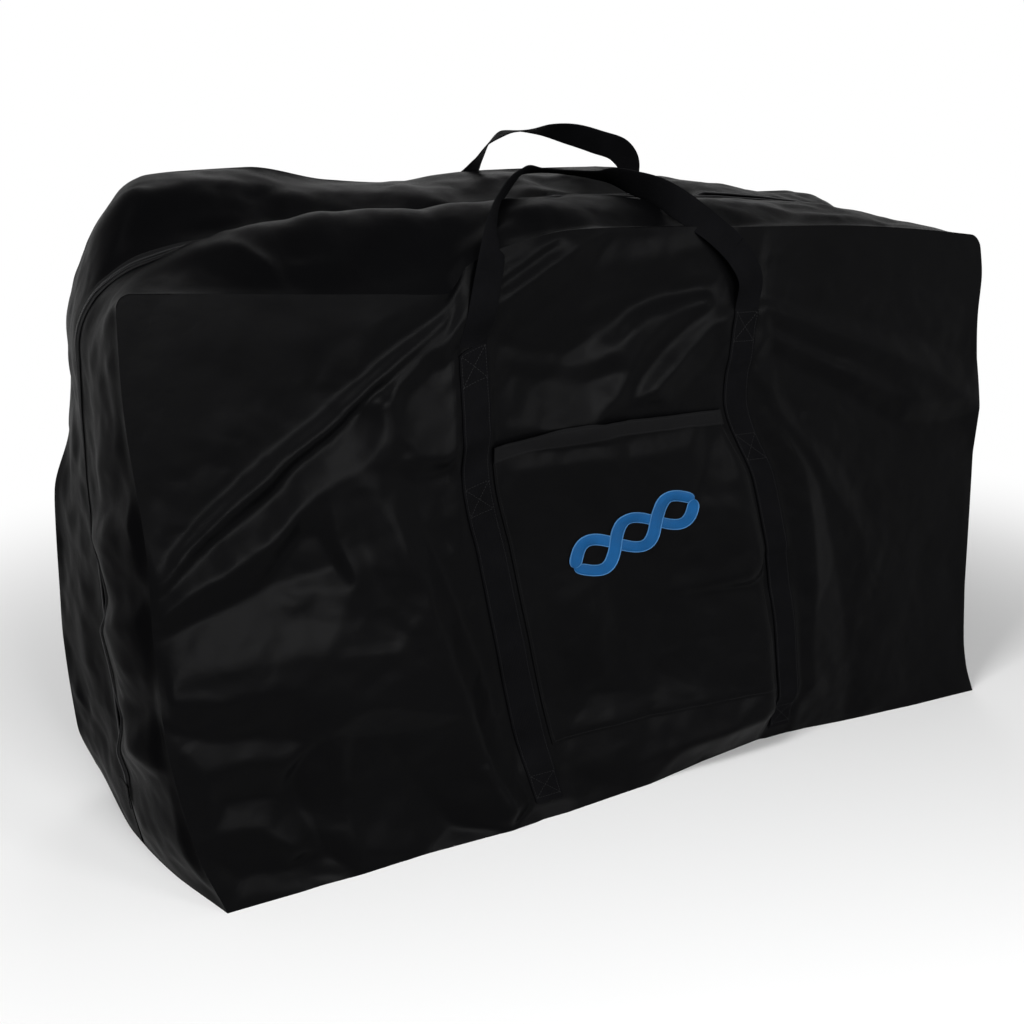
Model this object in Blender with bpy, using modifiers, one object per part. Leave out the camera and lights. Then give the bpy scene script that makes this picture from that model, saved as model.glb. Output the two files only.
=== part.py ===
"""Soft bike travel bag, standing, closed, with both carry handles up.

Metres, +Z up. X runs along the bag, the front panel faces -Y, and the origin is on the floor
under the middle of the base. The bag is two shells that part along a zip: the zip runs up the
left end, along the top and down the right end. The front shell folds forward about the bottom
edge of the front panel.
"""

import math

import bmesh
import bpy
from mathutils import Vector

# Driving sizes of the shell
BAG_LENGTH = 1.30
BAG_DEPTH = 0.38
FRONT_HEIGHT = 0.80
REAR_HEIGHT = 0.86
TOP_CROWN = 0.030
END_CROWN = 0.035
CORNER_RADIUS = 0.030
REAR_CORNER_RADIUS = 0.065
SKIN = 0.003
FOOT_HEIGHT = 0.10
SEAM_GAP = 0.0003

# Sag of the top beyond the right strap, at the right end of its seams, clear of the openings inside
RIGHT_FRONT_DROP = 0.004
RIGHT_REAR_DROP = 0.018
RIGHT_CROWN = 0.035

# Loose cloth of the front panel, which bellies out between its left edge and the left strap
BELLY_DEPTH = 0.028
BELLY_HEIGHT = 0.52

# Zip
TAPE_WIDTH = 0.016
TAPE_THICKNESS = 0.0008
TAPE_SETBACK = 0.0005
GUSSET_SETBACK = 0.0020
COIL_WIDTH = 0.0028
COIL_HEIGHT = 0.0020
END_TAB_HEIGHT = 0.026
END_TAB_WIDTH = 0.040
END_TAB_THICKNESS = 0.0015

# Zip slider and its pull
SLIDER_LENGTH = 0.018
SLIDER_WIDTH = 0.012
SLIDER_THICKNESS = 0.0030
SLIDER_CORNER = 0.0025
SLIDER_PARK = 0.006
BRIDGE_LENGTH = 0.012
BRIDGE_WIDTH = 0.0030
BRIDGE_WALL = 0.0015
BRIDGE_GAP = 0.0034
PULL_THICKNESS = 0.0014
PULL_BAR = 0.0016
PULL_EYE_LENGTH = 0.0085
PULL_EYE_WIDTH = 0.0046
PULL_ARM = 0.0020
PULL_LENGTH = 0.034
PULL_TIP_CORNER = 0.003

# Webbing of the straps and handles
WEB_WIDTH = 0.040
WEB_THICKNESS = 0.0018
STRAP_SPACING = 0.40
STRAP_START = 0.020
FRONT_LEG_LENGTH = 0.10
REAR_LEG_LENGTH = 0.14
FRONT_LOOP_RISE = 0.040
REAR_LOOP_RISE = 0.080
LOOP_LEAN = 0.001

# Patch pocket on the front panel, between the straps
POCKET_MARGIN = 0.006
POCKET_BASE = 0.10
POCKET_HEIGHT = 0.45
POCKET_DEPTH = 0.008
POCKET_WALL = 0.0025
POCKET_SHEET = 0.0015
HEM_HEIGHT = 0.022
HEM_THICKNESS = 0.0010
MOTIF_LENGTH = 0.21
MOTIF_SWING = 0.027
MOTIF_STROKE = 0.017
MOTIF_THICKNESS = 0.0010
MOTIF_CENTRE_X = 0.020
MOTIF_CENTRE_HEIGHT = 0.40
MOTIF_TILT_DEG = 22
MOTIF_EYES = 3

# Bound seam allowances inside the bag
BINDING_WIDTH = 0.012
BINDING_THICKNESS = 0.0012

HALF_LENGTH = BAG_LENGTH / 2
HALF_DEPTH = BAG_DEPTH / 2
FLOOR_OF_WALLS = SKIN + SEAM_GAP
INSIDE_Y = HALF_DEPTH - SKIN - SEAM_GAP
STRAP_X = STRAP_SPACING / 2
STRAP_REACH = STRAP_X + WEB_WIDTH
STRAP_Y = HALF_DEPTH + SEAM_GAP + WEB_THICKNESS / 2
ARC_STEPS = 5
FRONT, REAR = -1, 1

# Columns of the front panel across its belly, as shares from its left edge to the left strap, and
# its rows, as shares of its height. The rear panel is one row high.
BELLY_COLUMN_SHARES = [0.25, 0.40, 0.55, 0.70, 0.85]
FRONT_ROW_SHARES = [0, 0.08, 0.18, 0.32, 0.46, 0.58, 0.65, 1]
REAR_ROW_SHARES = [0, 1]

# Where each handle's free loop goes, from the left leg to the right one: across as a share of
# the strap's distance from the middle, back as a share of half the bag's depth, and up from the
# top of the bag as a share of the loop's rise. The photographed handles slump like this.
FRONT_LOOP_SHARES = [
    (-0.95, -0.93, 1.00),
    (-0.75, -0.62, 0.75),
    (-0.42, -0.20, 0.70),
    (-0.12, 0.16, 0.60),
    (0.15, 0.20, 0.50),
    (0.44, 0.10, 0.45),
    (0.56, -0.30, 0.45),
    (0.66, -0.64, 0.65),
    (0.93, -0.92, 0.95),
]
REAR_LOOP_SHARES = [
    (-0.90, 0.86, 0.42),
    (-0.52, 0.72, 0.38),
    (-0.22, 0.70, 0.75),
    (0.08, 0.74, 0.95),
    (0.42, 0.78, 0.98),
    (0.80, 0.84, 0.78),
    (1.10, 0.92, 0.52),
]
LOOP_START_SHARES = {FRONT: 0.70, REAR: 0.25}


def clear_scene():
    for obj in list(bpy.data.objects):
        bpy.data.objects.remove(obj, do_unlink=True)


def collection(name, hidden=False):
    made = bpy.data.collections.new(name)
    bpy.context.scene.collection.children.link(made)
    made.hide_render = hidden
    return made


def material(name, color, roughness, metallic=0.0):
    made = bpy.data.materials.new(name)
    made.use_nodes = True
    shader = made.node_tree.nodes["Principled BSDF"]
    shader.inputs["Base Color"].default_value = (*color, 1)
    shader.inputs["Roughness"].default_value = roughness
    shader.inputs["Metallic"].default_value = metallic
    return made


def add(obj, group, finish):
    """Links an object to its collection with its material."""
    group.objects.link(obj)
    obj.data.materials.append(finish)
    return obj


def end_bulge(y):
    """How far the end gusset stands out past the panels at this depth."""
    return END_CROWN * (1 - (y / HALF_DEPTH) ** 2)


def arched(y, front, rear, crown):
    """Height at this depth of a slope from front seam to rear seam, crowned between them."""
    across = max(-1, min(1, y / HALF_DEPTH))
    return (front + rear) / 2 + (rear - front) / 2 * across + crown * (1 - across**2)


def top_height(y):
    """Height of the top gusset at this depth, between the straps."""
    return arched(y, FRONT_HEIGHT, REAR_HEIGHT, TOP_CROWN)


def end_height(y, end):
    """Height of the top gusset at this depth where it turns down into an end. The right one sags."""
    if end < 0:
        return top_height(y)
    return arched(y, FRONT_HEIGHT - RIGHT_FRONT_DROP, REAR_HEIGHT - RIGHT_REAR_DROP, RIGHT_CROWN)


def corner_radius(y):
    """Radius of the top corners at this depth: tight at the front seam and slack at the rear one."""
    across = max(-1, min(1, y / HALF_DEPTH))
    return (CORNER_RADIUS + REAR_CORNER_RADIUS) / 2 + (REAR_CORNER_RADIUS - CORNER_RADIUS) / 2 * across


def corner(y, end, offset):
    """The top corner's curve at this depth, as (x, z) from its upright side to its level side."""
    reach = HALF_LENGTH + end_bulge(y) + offset
    height = end_height(y, end) + offset
    radius = corner_radius(y) + offset
    turns = [math.pi / 2 * step / ARC_STEPS for step in range(ARC_STEPS + 1)]
    return [
        ((reach - radius + radius * math.cos(t)) * end, height - radius + radius * math.sin(t))
        for t in turns
    ]


def left_end(y, low, offset):
    """The shell's outline up the left end and round its top corner, offset outwards."""
    curve = corner(y, -1, offset)
    return [Vector((curve[0][0], y, low))] + [Vector((x, y, z)) for x, z in curve]


def right_end(y, low, offset):
    """The shell's outline round the right top corner and down the right end, offset outwards."""
    curve = corner(y, 1, offset)
    return [Vector((x, y, z)) for x, z in reversed(curve)] + [Vector((curve[0][0], y, low))]


def between_straps(y, offset):
    """The top's outline over the two straps, where it stands at its full height."""
    height = top_height(y) + offset
    return [Vector((-STRAP_REACH, y, height)), Vector((STRAP_REACH, y, height))]


def top_run(y, low, offset):
    """The top between the corner curves, a seam's gap short of each."""
    left = left_end(y, low, offset)[-1] + Vector((SEAM_GAP, 0, 0))
    right = right_end(y, low, offset)[0] - Vector((SEAM_GAP, 0, 0))
    return [left] + between_straps(y, offset) + [right]


def whole_run(y, low, offset):
    """Left end, top and right end as one outline."""
    return left_end(y, low, offset) + between_straps(y, offset) + right_end(y, low, offset)


def foot_run(side):
    """The end gusset's outline below the zip, as a function of depth."""

    def run(y, low, offset):
        reach = (HALF_LENGTH + end_bulge(y) + offset) * side
        return [Vector((reach, y, low)), Vector((reach, y, FOOT_HEIGHT))][::side]

    return run


def thick_sheet(name, outer, inner):
    """A closed sheet of fabric between an outer and an inner face, both as rows of points."""
    mesh = bmesh.new()
    faces = [[[mesh.verts.new(p) for p in row] for row in side] for side in (outer, inner)]
    rows, columns = len(outer), len(outer[0])
    for r in range(rows - 1):
        for c in range(columns - 1):
            for side in faces:
                mesh.faces.new((side[r][c], side[r][c + 1], side[r + 1][c + 1], side[r + 1][c]))
    for r in (0, rows - 1):
        for c in range(columns - 1):
            mesh.faces.new((faces[0][r][c], faces[0][r][c + 1], faces[1][r][c + 1], faces[1][r][c]))
    for c in (0, columns - 1):
        for r in range(rows - 1):
            mesh.faces.new((faces[0][r][c], faces[0][r + 1][c], faces[1][r + 1][c], faces[1][r][c]))
    bmesh.ops.recalc_face_normals(mesh, faces=mesh.faces)
    data = bpy.data.meshes.new(name)
    mesh.to_mesh(data)
    mesh.free()
    return bpy.data.objects.new(name, data)


def lofted(name, run, depths, low, outer_offset, thickness):
    """A closed strip of fabric: the run's outline at each depth, with an inner face below it."""
    outer = [run(y, low, outer_offset) for y in depths]
    inner = [run(y, low, outer_offset - thickness) for y in depths]
    return thick_sheet(name, outer, inner)


def flat_outline(name, outlines, thickness):
    """A flat piece cut to closed 2D outlines, the first one outer and the others holes."""
    curve = bpy.data.curves.new(name, "CURVE")
    curve.dimensions = "2D"
    curve.fill_mode = "BOTH"
    curve.extrude = thickness / 2
    for outline in outlines:
        spline = curve.splines.new("POLY")
        spline.points.add(len(outline) - 1)
        spline.use_cyclic_u = True
        for point, (x, y) in zip(spline.points, outline):
            point.co = (x, y, 0, 1)
    return bpy.data.objects.new(name, curve)


def stood_up(obj, y, side):
    """Stands a flat piece in the XZ plane on the front or rear of the bag, centred on depth y."""
    obj.rotation_euler = (math.pi / 2, 0, 0)
    obj.location = (0, y * side, 0)
    return obj


def box(name, size, centre):
    """A rectangular piece, from a primitive whose scale is applied."""
    mesh = bmesh.new()
    bmesh.ops.create_cube(mesh, size=1)
    bmesh.ops.scale(mesh, vec=size, verts=mesh.verts)
    data = bpy.data.meshes.new(name)
    mesh.to_mesh(data)
    mesh.free()
    obj = bpy.data.objects.new(name, data)
    obj.location = centre
    return obj


def belly(x, z):
    """How far the front panel's loose cloth stands out at this place."""
    left, right = -HALF_LENGTH, -STRAP_REACH
    if not (left < x < right and 0 < z < BELLY_HEIGHT):
        return 0
    along = (x - left) / (right - left)
    return BELLY_DEPTH * math.sin(math.pi * along) * math.sin(math.pi * z / BELLY_HEIGHT)


def flat(x, z):
    """The swell of a panel that hangs flat."""
    return 0


def panel(name, side, swell, between, rows):
    """A panel standing on the base, with rounded top corners and its cloth swelling outwards.

    between holds the places of its columns between the corners, and rows the heights of its rows as
    shares of each column.
    """
    y = HALF_DEPTH * side
    left, right = corner(y, -1, 0), corner(y, 1, 0)
    columns = list(left)
    marks = [left[-1], (-STRAP_REACH, top_height(y)), (STRAP_REACH, top_height(y)), right[-1]]
    for x in between:
        for (x0, z0), (x1, z1) in zip(marks, marks[1:]):
            if x0 < x <= x1:
                columns.append((x, z0 + (z1 - z0) * (x - x0) / (x1 - x0)))
    columns += right[::-1]
    faces = []
    for depth in (HALF_DEPTH, HALF_DEPTH - SKIN):
        face = []
        for x, top in columns:
            heights = [FLOOR_OF_WALLS + share * (top - FLOOR_OF_WALLS) for share in rows]
            face.append([Vector((x, (depth + swell(x, z)) * side, z)) for z in heights])
        faces.append(face)
    return thick_sheet(name, *faces)


def gusset_depths():
    """Depths from the zip out to the seam, shared by the gusset, its zip tape and its binding."""
    seam_edge = INSIDE_Y - BINDING_WIDTH
    zip_edge = TAPE_SETBACK + TAPE_WIDTH
    between = seam_edge - zip_edge
    return [
        GUSSET_SETBACK,
        zip_edge,
        zip_edge + between / 3,
        zip_edge + between * 2 / 3,
        seam_edge,
        INSIDE_Y,
    ]


def base_panel():
    """The bottom: as long as the bag, with its ends bowed out like the end gussets."""
    steps = [depth / INSIDE_Y for depth in gusset_depths()]
    shares = [-s for s in reversed(steps)] + steps
    depths = [-HALF_DEPTH] + [share * INSIDE_Y for share in shares] + [HALF_DEPTH]
    right = [(HALF_LENGTH + end_bulge(y), y) for y in depths]
    left = [(-x, y) for x, y in reversed(right)]
    obj = flat_outline("base_panel", [right + left], SKIN)
    obj.location.z = SKIN / 2
    return obj


def shell_pieces(bag, cloth, binding):
    """Panels, gusset strips and inner bindings of both shells."""
    add(base_panel(), bag, cloth)
    slack = HALF_LENGTH - STRAP_REACH
    columns = [-HALF_LENGTH + slack * share for share in BELLY_COLUMN_SHARES]
    straps = [-STRAP_REACH, STRAP_REACH]
    add(panel("front_panel", FRONT, belly, columns + straps, FRONT_ROW_SHARES), bag, cloth)
    add(panel("rear_panel", REAR, flat, straps, REAR_ROW_SHARES), bag, cloth)
    zip_foot = FOOT_HEIGHT + SEAM_GAP
    for shell, side in (("front", FRONT), ("rear", REAR)):
        depths = [y * side for y in gusset_depths()]
        runs = (("top", top_run), ("left", left_end), ("right", right_end))
        for place, run in runs:
            strip = lofted(f"{place}_gusset_{shell}", run, depths, zip_foot, 0, SKIN)
            add(strip, bag, cloth)
        edges = [y * side for y in gusset_depths()[-2:]]
        offset = -(SKIN + SEAM_GAP)
        low = zip_foot if side == FRONT else FLOOR_OF_WALLS
        tape = lofted(f"seam_binding_{shell}", whole_run, edges, low, offset, BINDING_THICKNESS)
        add(tape, bag, binding)
    full_depth = [-y for y in reversed(gusset_depths())] + gusset_depths()
    for place, side in (("left", -1), ("right", 1)):
        foot = lofted(f"{place}_gusset_foot", foot_run(side), full_depth, FLOOR_OF_WALLS, 0, SKIN)
        add(foot, bag, cloth)


def zip_pieces(bag, tape_finish, coil_finish, cloth):
    """Tape and coil of each shell, and the tab that covers each end of the zip."""
    zip_foot = FOOT_HEIGHT + SEAM_GAP
    coil_offset = 2 * SEAM_GAP + TAPE_THICKNESS + COIL_HEIGHT
    for shell, side in (("front", FRONT), ("rear", REAR)):
        tape_edges = [TAPE_SETBACK * side, (TAPE_SETBACK + TAPE_WIDTH) * side]
        tape = lofted(
            f"zip_tape_{shell}",
            whole_run,
            tape_edges,
            zip_foot,
            SEAM_GAP + TAPE_THICKNESS,
            TAPE_THICKNESS,
        )
        add(tape, bag, tape_finish)
        coil_edges = [TAPE_SETBACK * side, (TAPE_SETBACK + COIL_WIDTH) * side]
        coil = lofted(
            f"zip_coil_{shell}", whole_run, coil_edges, zip_foot, coil_offset, COIL_HEIGHT
        )
        add(coil, bag, coil_finish)
    reach = HALF_LENGTH + END_CROWN + SEAM_GAP + END_TAB_THICKNESS / 2
    size = (END_TAB_THICKNESS, END_TAB_WIDTH, END_TAB_HEIGHT)
    for place, side in (("left", -1), ("right", 1)):
        centre = (reach * side, 0, FOOT_HEIGHT - END_TAB_HEIGHT / 2)
        add(box(f"zip_end_tab_{place}", size, centre), bag, cloth)


def coil_face_x():
    """Outer face of the coil on the right end, on the zip's line."""
    return HALF_LENGTH + END_CROWN + 2 * SEAM_GAP + TAPE_THICKNESS + COIL_HEIGHT


def apply_union(obj, other):
    """Joins another mesh to obj, as one body."""
    joined = obj.modifiers.new("join", "BOOLEAN")
    joined.operation = "UNION"
    joined.object = other
    other.hide_render = True
    other.display_type = "WIRE"


def slider_pieces(bag, cutters, metal):
    """The slider parked at the foot of the right end, and the pull that hangs from its bridge."""
    face = coil_face_x() + SEAM_GAP
    middle_z = FOOT_HEIGHT + SLIDER_PARK + SLIDER_LENGTH / 2
    plate = box(
        "zip_slider",
        (SLIDER_THICKNESS, SLIDER_WIDTH, SLIDER_LENGTH),
        (face + SLIDER_THICKNESS / 2, 0, middle_z),
    )
    rounding = plate.modifiers.new("rounding", "BEVEL")
    rounding.width = min(SLIDER_CORNER, SLIDER_WIDTH / 3)
    rounding.segments = 2
    rounding.affect = "EDGES"
    rounding.limit_method = "WEIGHT"
    weights = plate.data.attributes.new("bevel_weight_edge", "FLOAT", "EDGE")
    for edge in plate.data.edges:
        ends = [plate.data.vertices[v].co for v in edge.vertices]
        along_x = abs(ends[0].x - ends[1].x) > SLIDER_THICKNESS / 2
        weights.data[edge.index].value = 1.0 if along_x else 0.0
    add(plate, bag, metal)
    inner = BRIDGE_LENGTH / 2 - BRIDGE_WALL
    outer = BRIDGE_LENGTH / 2
    low = -SLIDER_THICKNESS / 2
    arch = [
        (low, -outer),
        (BRIDGE_GAP + BRIDGE_WALL, -outer),
        (BRIDGE_GAP + BRIDGE_WALL, outer),
        (low, outer),
        (low, inner),
        (BRIDGE_GAP, inner),
        (BRIDGE_GAP, -inner),
        (low, -inner),
    ]
    bridge = flat_outline("bridge", [arch], BRIDGE_WIDTH)
    bridge.rotation_euler = (math.pi / 2, 0, 0)
    bridge.location = (face + SLIDER_THICKNESS, 0, middle_z)
    cutters.objects.link(bridge)
    bridge = as_mesh(bridge, "bridge_solid")
    cutters.objects.link(bridge)
    apply_union(plate, bridge)
    bar_x = face + SLIDER_THICKNESS + BRIDGE_GAP / 2
    half_eye = PULL_EYE_WIDTH / 2
    half_pull = half_eye + PULL_ARM
    top = PULL_BAR / 2
    tip = -PULL_LENGTH
    corner = PULL_TIP_CORNER
    outline = [
        (-half_pull, top),
        (-half_pull, tip + corner),
        (corner - half_pull, tip),
        (half_pull - corner, tip),
        (half_pull, tip + corner),
        (half_pull, top),
    ]
    eye_low = -top - PULL_EYE_LENGTH
    eye = [(-half_eye, -top), (-half_eye, eye_low), (half_eye, eye_low), (half_eye, -top)]
    pull = flat_outline("zip_pull", [outline, eye], PULL_THICKNESS)
    pull.rotation_euler = (math.pi / 2, 0, math.pi / 2)
    pull.location = (bar_x, 0, middle_z)
    add(pull, bag, metal)


def as_mesh(obj, name):
    """A mesh object with the linked curve's evaluated shape, in the curve's place."""
    bpy.context.view_layer.update()
    graph = bpy.context.evaluated_depsgraph_get()
    data = bpy.data.meshes.new_from_object(obj.evaluated_get(graph))
    mesh = bmesh.new()
    mesh.from_mesh(data)
    bmesh.ops.remove_doubles(mesh, verts=mesh.verts, dist=SEAM_GAP / 10)
    bmesh.ops.recalc_face_normals(mesh, faces=mesh.faces)
    mesh.to_mesh(data)
    mesh.free()
    place = obj.matrix_world.copy()
    bpy.data.objects.remove(obj, do_unlink=True)
    made = bpy.data.objects.new(name, data)
    made.matrix_world = place
    return made


def web_profile(guides):
    """The webbing's flat rectangular section, which every free loop is swept with."""
    curve = bpy.data.curves.new("web_section", "CURVE")
    curve.dimensions = "2D"
    spline = curve.splines.new("POLY")
    corners = [(-1, -1), (1, -1), (1, 1), (-1, 1)]
    spline.points.add(len(corners) - 1)
    spline.use_cyclic_u = True
    for point, (across, through) in zip(spline.points, corners):
        point.co = (across * WEB_WIDTH / 2, through * WEB_THICKNESS / 2, 0, 1)
    section = bpy.data.objects.new("web_section", curve)
    section.hide_render = True
    section.display_type = "WIRE"
    guides.objects.link(section)
    return section


def loop_route(side, height, rise, shares):
    """Route of a free loop, from the top of the left leg over the bag to the right leg."""
    edge = STRAP_Y * side
    leant = edge - LOOP_LEAN * side
    start = height + SEAM_GAP
    lift = height + rise * LOOP_START_SHARES[side]
    points = [(-STRAP_X, edge, start), (-STRAP_X, leant, lift)]
    for across, back, up in shares:
        y = back * HALF_DEPTH
        points.append((across * STRAP_X, y, top_height(y) + WEB_THICKNESS + up * rise))
    points += [(STRAP_X, leant, lift), (STRAP_X, edge, start)]
    return points


def loop(name, route, section, guides):
    """A loop of webbing swept along a smooth curve through its route, as a closed mesh."""
    curve = bpy.data.curves.new(name, "CURVE")
    curve.dimensions = "3D"
    curve.twist_mode = "Z_UP"
    curve.bevel_mode = "OBJECT"
    curve.bevel_object = section
    curve.use_fill_caps = True
    curve.resolution_u = 3
    spline = curve.splines.new("NURBS")
    spline.points.add(len(route) - 1)
    spline.order_u = 4
    spline.use_endpoint_u = True
    for point, place in zip(spline.points, route):
        point.co = (*place, 1)
    swept = bpy.data.objects.new(name + "_path", curve)
    guides.objects.link(swept)
    return as_mesh(swept, name)


def strap_pieces(bag, guides, webbing):
    """Sewn runs up both panels, the free legs above their top stitching, and the loops."""
    section = web_profile(guides)
    handles = (
        ("front", FRONT, FRONT_HEIGHT, FRONT_LEG_LENGTH, FRONT_LOOP_RISE, FRONT_LOOP_SHARES),
        ("rear", REAR, REAR_HEIGHT, REAR_LEG_LENGTH, REAR_LOOP_RISE, REAR_LOOP_SHARES),
    )
    for shell, side, height, leg_length, rise, shares in handles:
        for place, x in (("left", -STRAP_X), ("right", STRAP_X)):
            low = FLOOR_OF_WALLS + STRAP_START
            run = height - leg_length - low
            sewn = box(
                f"{shell}_strap_{place}",
                (WEB_WIDTH, WEB_THICKNESS, run),
                (x, STRAP_Y * side, low + run / 2),
            )
            add(sewn, bag, webbing)
            free = leg_length - SEAM_GAP
            leg = box(
                f"{shell}_handle_leg_{place}",
                (WEB_WIDTH, WEB_THICKNESS, free),
                (x, STRAP_Y * side, height - free / 2),
            )
            add(leg, bag, webbing)
        route = loop_route(side, height, rise, shares)
        add(loop(f"{shell}_handle_loop", route, section, guides), bag, webbing)


def pocket_pieces(bag, cloth, binding):
    """Bellows pocket between the front straps: a bent gusset, a front sheet and a bound hem."""
    half = STRAP_X - WEB_WIDTH / 2 - POCKET_MARGIN
    low = POCKET_BASE
    high = POCKET_BASE + POCKET_HEIGHT
    inside = half - POCKET_WALL
    gusset_outline = [
        (-half, high),
        (-half, low),
        (half, low),
        (half, high),
        (inside, high),
        (inside, low + POCKET_WALL),
        (-inside, low + POCKET_WALL),
        (-inside, high),
    ]
    gusset = flat_outline("pocket_gusset", [gusset_outline], POCKET_DEPTH)
    gusset_y = HALF_DEPTH + SEAM_GAP + POCKET_DEPTH / 2
    add(stood_up(gusset, gusset_y, FRONT), bag, cloth)
    sheet_y = gusset_y + POCKET_DEPTH / 2 + SEAM_GAP + POCKET_SHEET / 2
    sheet_size = (2 * half, POCKET_SHEET, POCKET_HEIGHT)
    sheet = box("pocket_panel", sheet_size, (0, -sheet_y, low + POCKET_HEIGHT / 2))
    add(sheet, bag, cloth)
    hem_y = sheet_y + POCKET_SHEET / 2 + SEAM_GAP + HEM_THICKNESS / 2
    hem_size = (2 * half, HEM_THICKNESS, HEM_HEIGHT)
    add(box("pocket_hem", hem_size, (0, -hem_y, high - HEM_HEIGHT / 2)), bag, binding)
    return sheet_y + POCKET_SHEET / 2


def motif_outlines():
    """A plain twist of two wavy strands: its outer edge, then the eye between each crossing."""
    half_stroke = MOTIF_STROKE / 2
    steps_per_eye = 8
    count = MOTIF_EYES * steps_per_eye
    xs = [MOTIF_LENGTH * (i / count - 1 / 2) for i in range(count + 1)]
    waves = [MOTIF_SWING * abs(math.sin(math.pi * i / steps_per_eye)) for i in range(count + 1)]
    upper = [(x, wave + half_stroke) for x, wave in zip(xs, waves)]
    lower = [(x, -z) for x, z in reversed(upper)]
    outlines = [upper + lower]
    for eye in range(MOTIF_EYES):
        left = MOTIF_LENGTH * (eye / MOTIF_EYES - 1 / 2)
        width = MOTIF_LENGTH / MOTIF_EYES
        top = []
        for step in range(1, steps_per_eye):
            share = step / steps_per_eye
            height = MOTIF_SWING * math.sin(math.pi * share) - half_stroke
            if height > 0:
                top.append((left + width * share, height))
        if len(top) > 2:
            bottom = [(x, -z) for x, z in reversed(top)]
            outlines.append(top + bottom)
    return outlines


def motif_piece(bag, pocket_face, thread):
    """The embroidered motif on the pocket."""
    motif = flat_outline("embroidered_motif", motif_outlines(), MOTIF_THICKNESS)
    motif.rotation_euler = (math.pi / 2, -math.radians(MOTIF_TILT_DEG), 0)
    depth = pocket_face + SEAM_GAP + MOTIF_THICKNESS / 2
    motif.location = (MOTIF_CENTRE_X, -depth, MOTIF_CENTRE_HEIGHT)
    add(motif, bag, thread)


def hang_on_joint(bag, name, place, members):
    """Parents a moving body's members to an empty on its joint's axis, which shifts none of them."""
    joint = bpy.data.objects.new(name, None)
    joint.location = place
    bag.objects.link(joint)
    bpy.context.view_layer.update()
    for member in members:
        bag.objects[member].parent = joint
        bag.objects[member].matrix_parent_inverse = joint.matrix_world.inverted()


def joint_tree(bag):
    """Hangs the handles' loops from their legs, the front legs from the front shell, and so on."""
    web_face = STRAP_Y + WEB_THICKNESS / 2 + SEAM_GAP
    handles = (
        ("front", FRONT, FRONT_HEIGHT, FRONT_LEG_LENGTH),
        ("rear", REAR, REAR_HEIGHT, REAR_LEG_LENGTH),
    )
    for shell, side, height, leg_length in handles:
        loop_place = (0, web_face * side, height + SEAM_GAP / 2)
        hang_on_joint(bag, f"{shell}_loop_swing", loop_place, [f"{shell}_handle_loop"])
        legs = [f"{shell}_handle_leg_left", f"{shell}_handle_leg_right", f"{shell}_loop_swing"]
        stitch = height - leg_length
        hang_on_joint(bag, f"{shell}_leg_swing", (0, web_face * side, stitch), legs)
    front_shell = [
        "front_panel",
        "top_gusset_front",
        "left_gusset_front",
        "right_gusset_front",
        "zip_tape_front",
        "zip_coil_front",
        "seam_binding_front",
        "front_strap_left",
        "front_strap_right",
        "pocket_gusset",
        "pocket_panel",
        "pocket_hem",
        "embroidered_motif",
        "front_leg_swing",
    ]
    hang_on_joint(bag, "shell_fold", (0, -HALF_DEPTH, FLOOR_OF_WALLS), front_shell)
    slider = bag.objects["zip_slider"]
    bag.objects["zip_pull"].parent = slider
    bag.objects["zip_pull"].matrix_parent_inverse = slider.matrix_world.inverted()


def main():
    clear_scene()
    bag = collection("soft_bike_travel_bag")
    guides = collection("guides", hidden=True)
    cloth = material("black_nylon", (0.018, 0.018, 0.021), 0.55)
    binding = material("black_binding_tape", (0.012, 0.012, 0.014), 0.70)
    webbing = material("black_webbing", (0.022, 0.022, 0.025), 0.62)
    zip_cloth = material("zip_tape", (0.014, 0.014, 0.016), 0.75)
    coil = material("zip_coil_nylon", (0.020, 0.020, 0.022), 0.35)
    metal = material("slider_black_metal", (0.050, 0.050, 0.055), 0.35, 0.9)
    thread = material("blue_thread", (0.010, 0.200, 0.620), 0.50)
    shell_pieces(bag, cloth, binding)
    zip_pieces(bag, zip_cloth, coil, cloth)
    slider_pieces(bag, guides, metal)
    strap_pieces(bag, guides, webbing)
    pocket_face = pocket_pieces(bag, cloth, binding)
    motif_piece(bag, pocket_face, thread)
    joint_tree(bag)


main()
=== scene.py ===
"""Looks of the soft bike travel bag: crumpled nylon shell, webbing handles, zip, pocket and embroidery."""

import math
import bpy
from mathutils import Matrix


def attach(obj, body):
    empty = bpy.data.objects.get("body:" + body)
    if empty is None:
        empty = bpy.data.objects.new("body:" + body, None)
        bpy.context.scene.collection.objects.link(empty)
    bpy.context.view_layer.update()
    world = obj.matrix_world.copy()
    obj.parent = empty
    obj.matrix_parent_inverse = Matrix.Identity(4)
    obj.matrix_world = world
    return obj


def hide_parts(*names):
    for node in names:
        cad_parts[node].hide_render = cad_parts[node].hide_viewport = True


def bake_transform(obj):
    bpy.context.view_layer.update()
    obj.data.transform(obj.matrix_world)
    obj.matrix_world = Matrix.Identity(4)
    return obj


bl_info = {
    "name": "Soft bike travel bag",
    "version": (1, 0, 0),
    "blender": (4, 5, 0),
    "location": "3D View > Sidebar > Bike bag",
    "description": "Builds the cloth, webbing, zip and trim of a soft bike travel bag on its packed frame",
    "category": "Add Mesh",
}

import bpy
import numpy as np
from mathutils import Matrix, Vector
from mathutils.geometry import delaunay_2d_cdt

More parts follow.
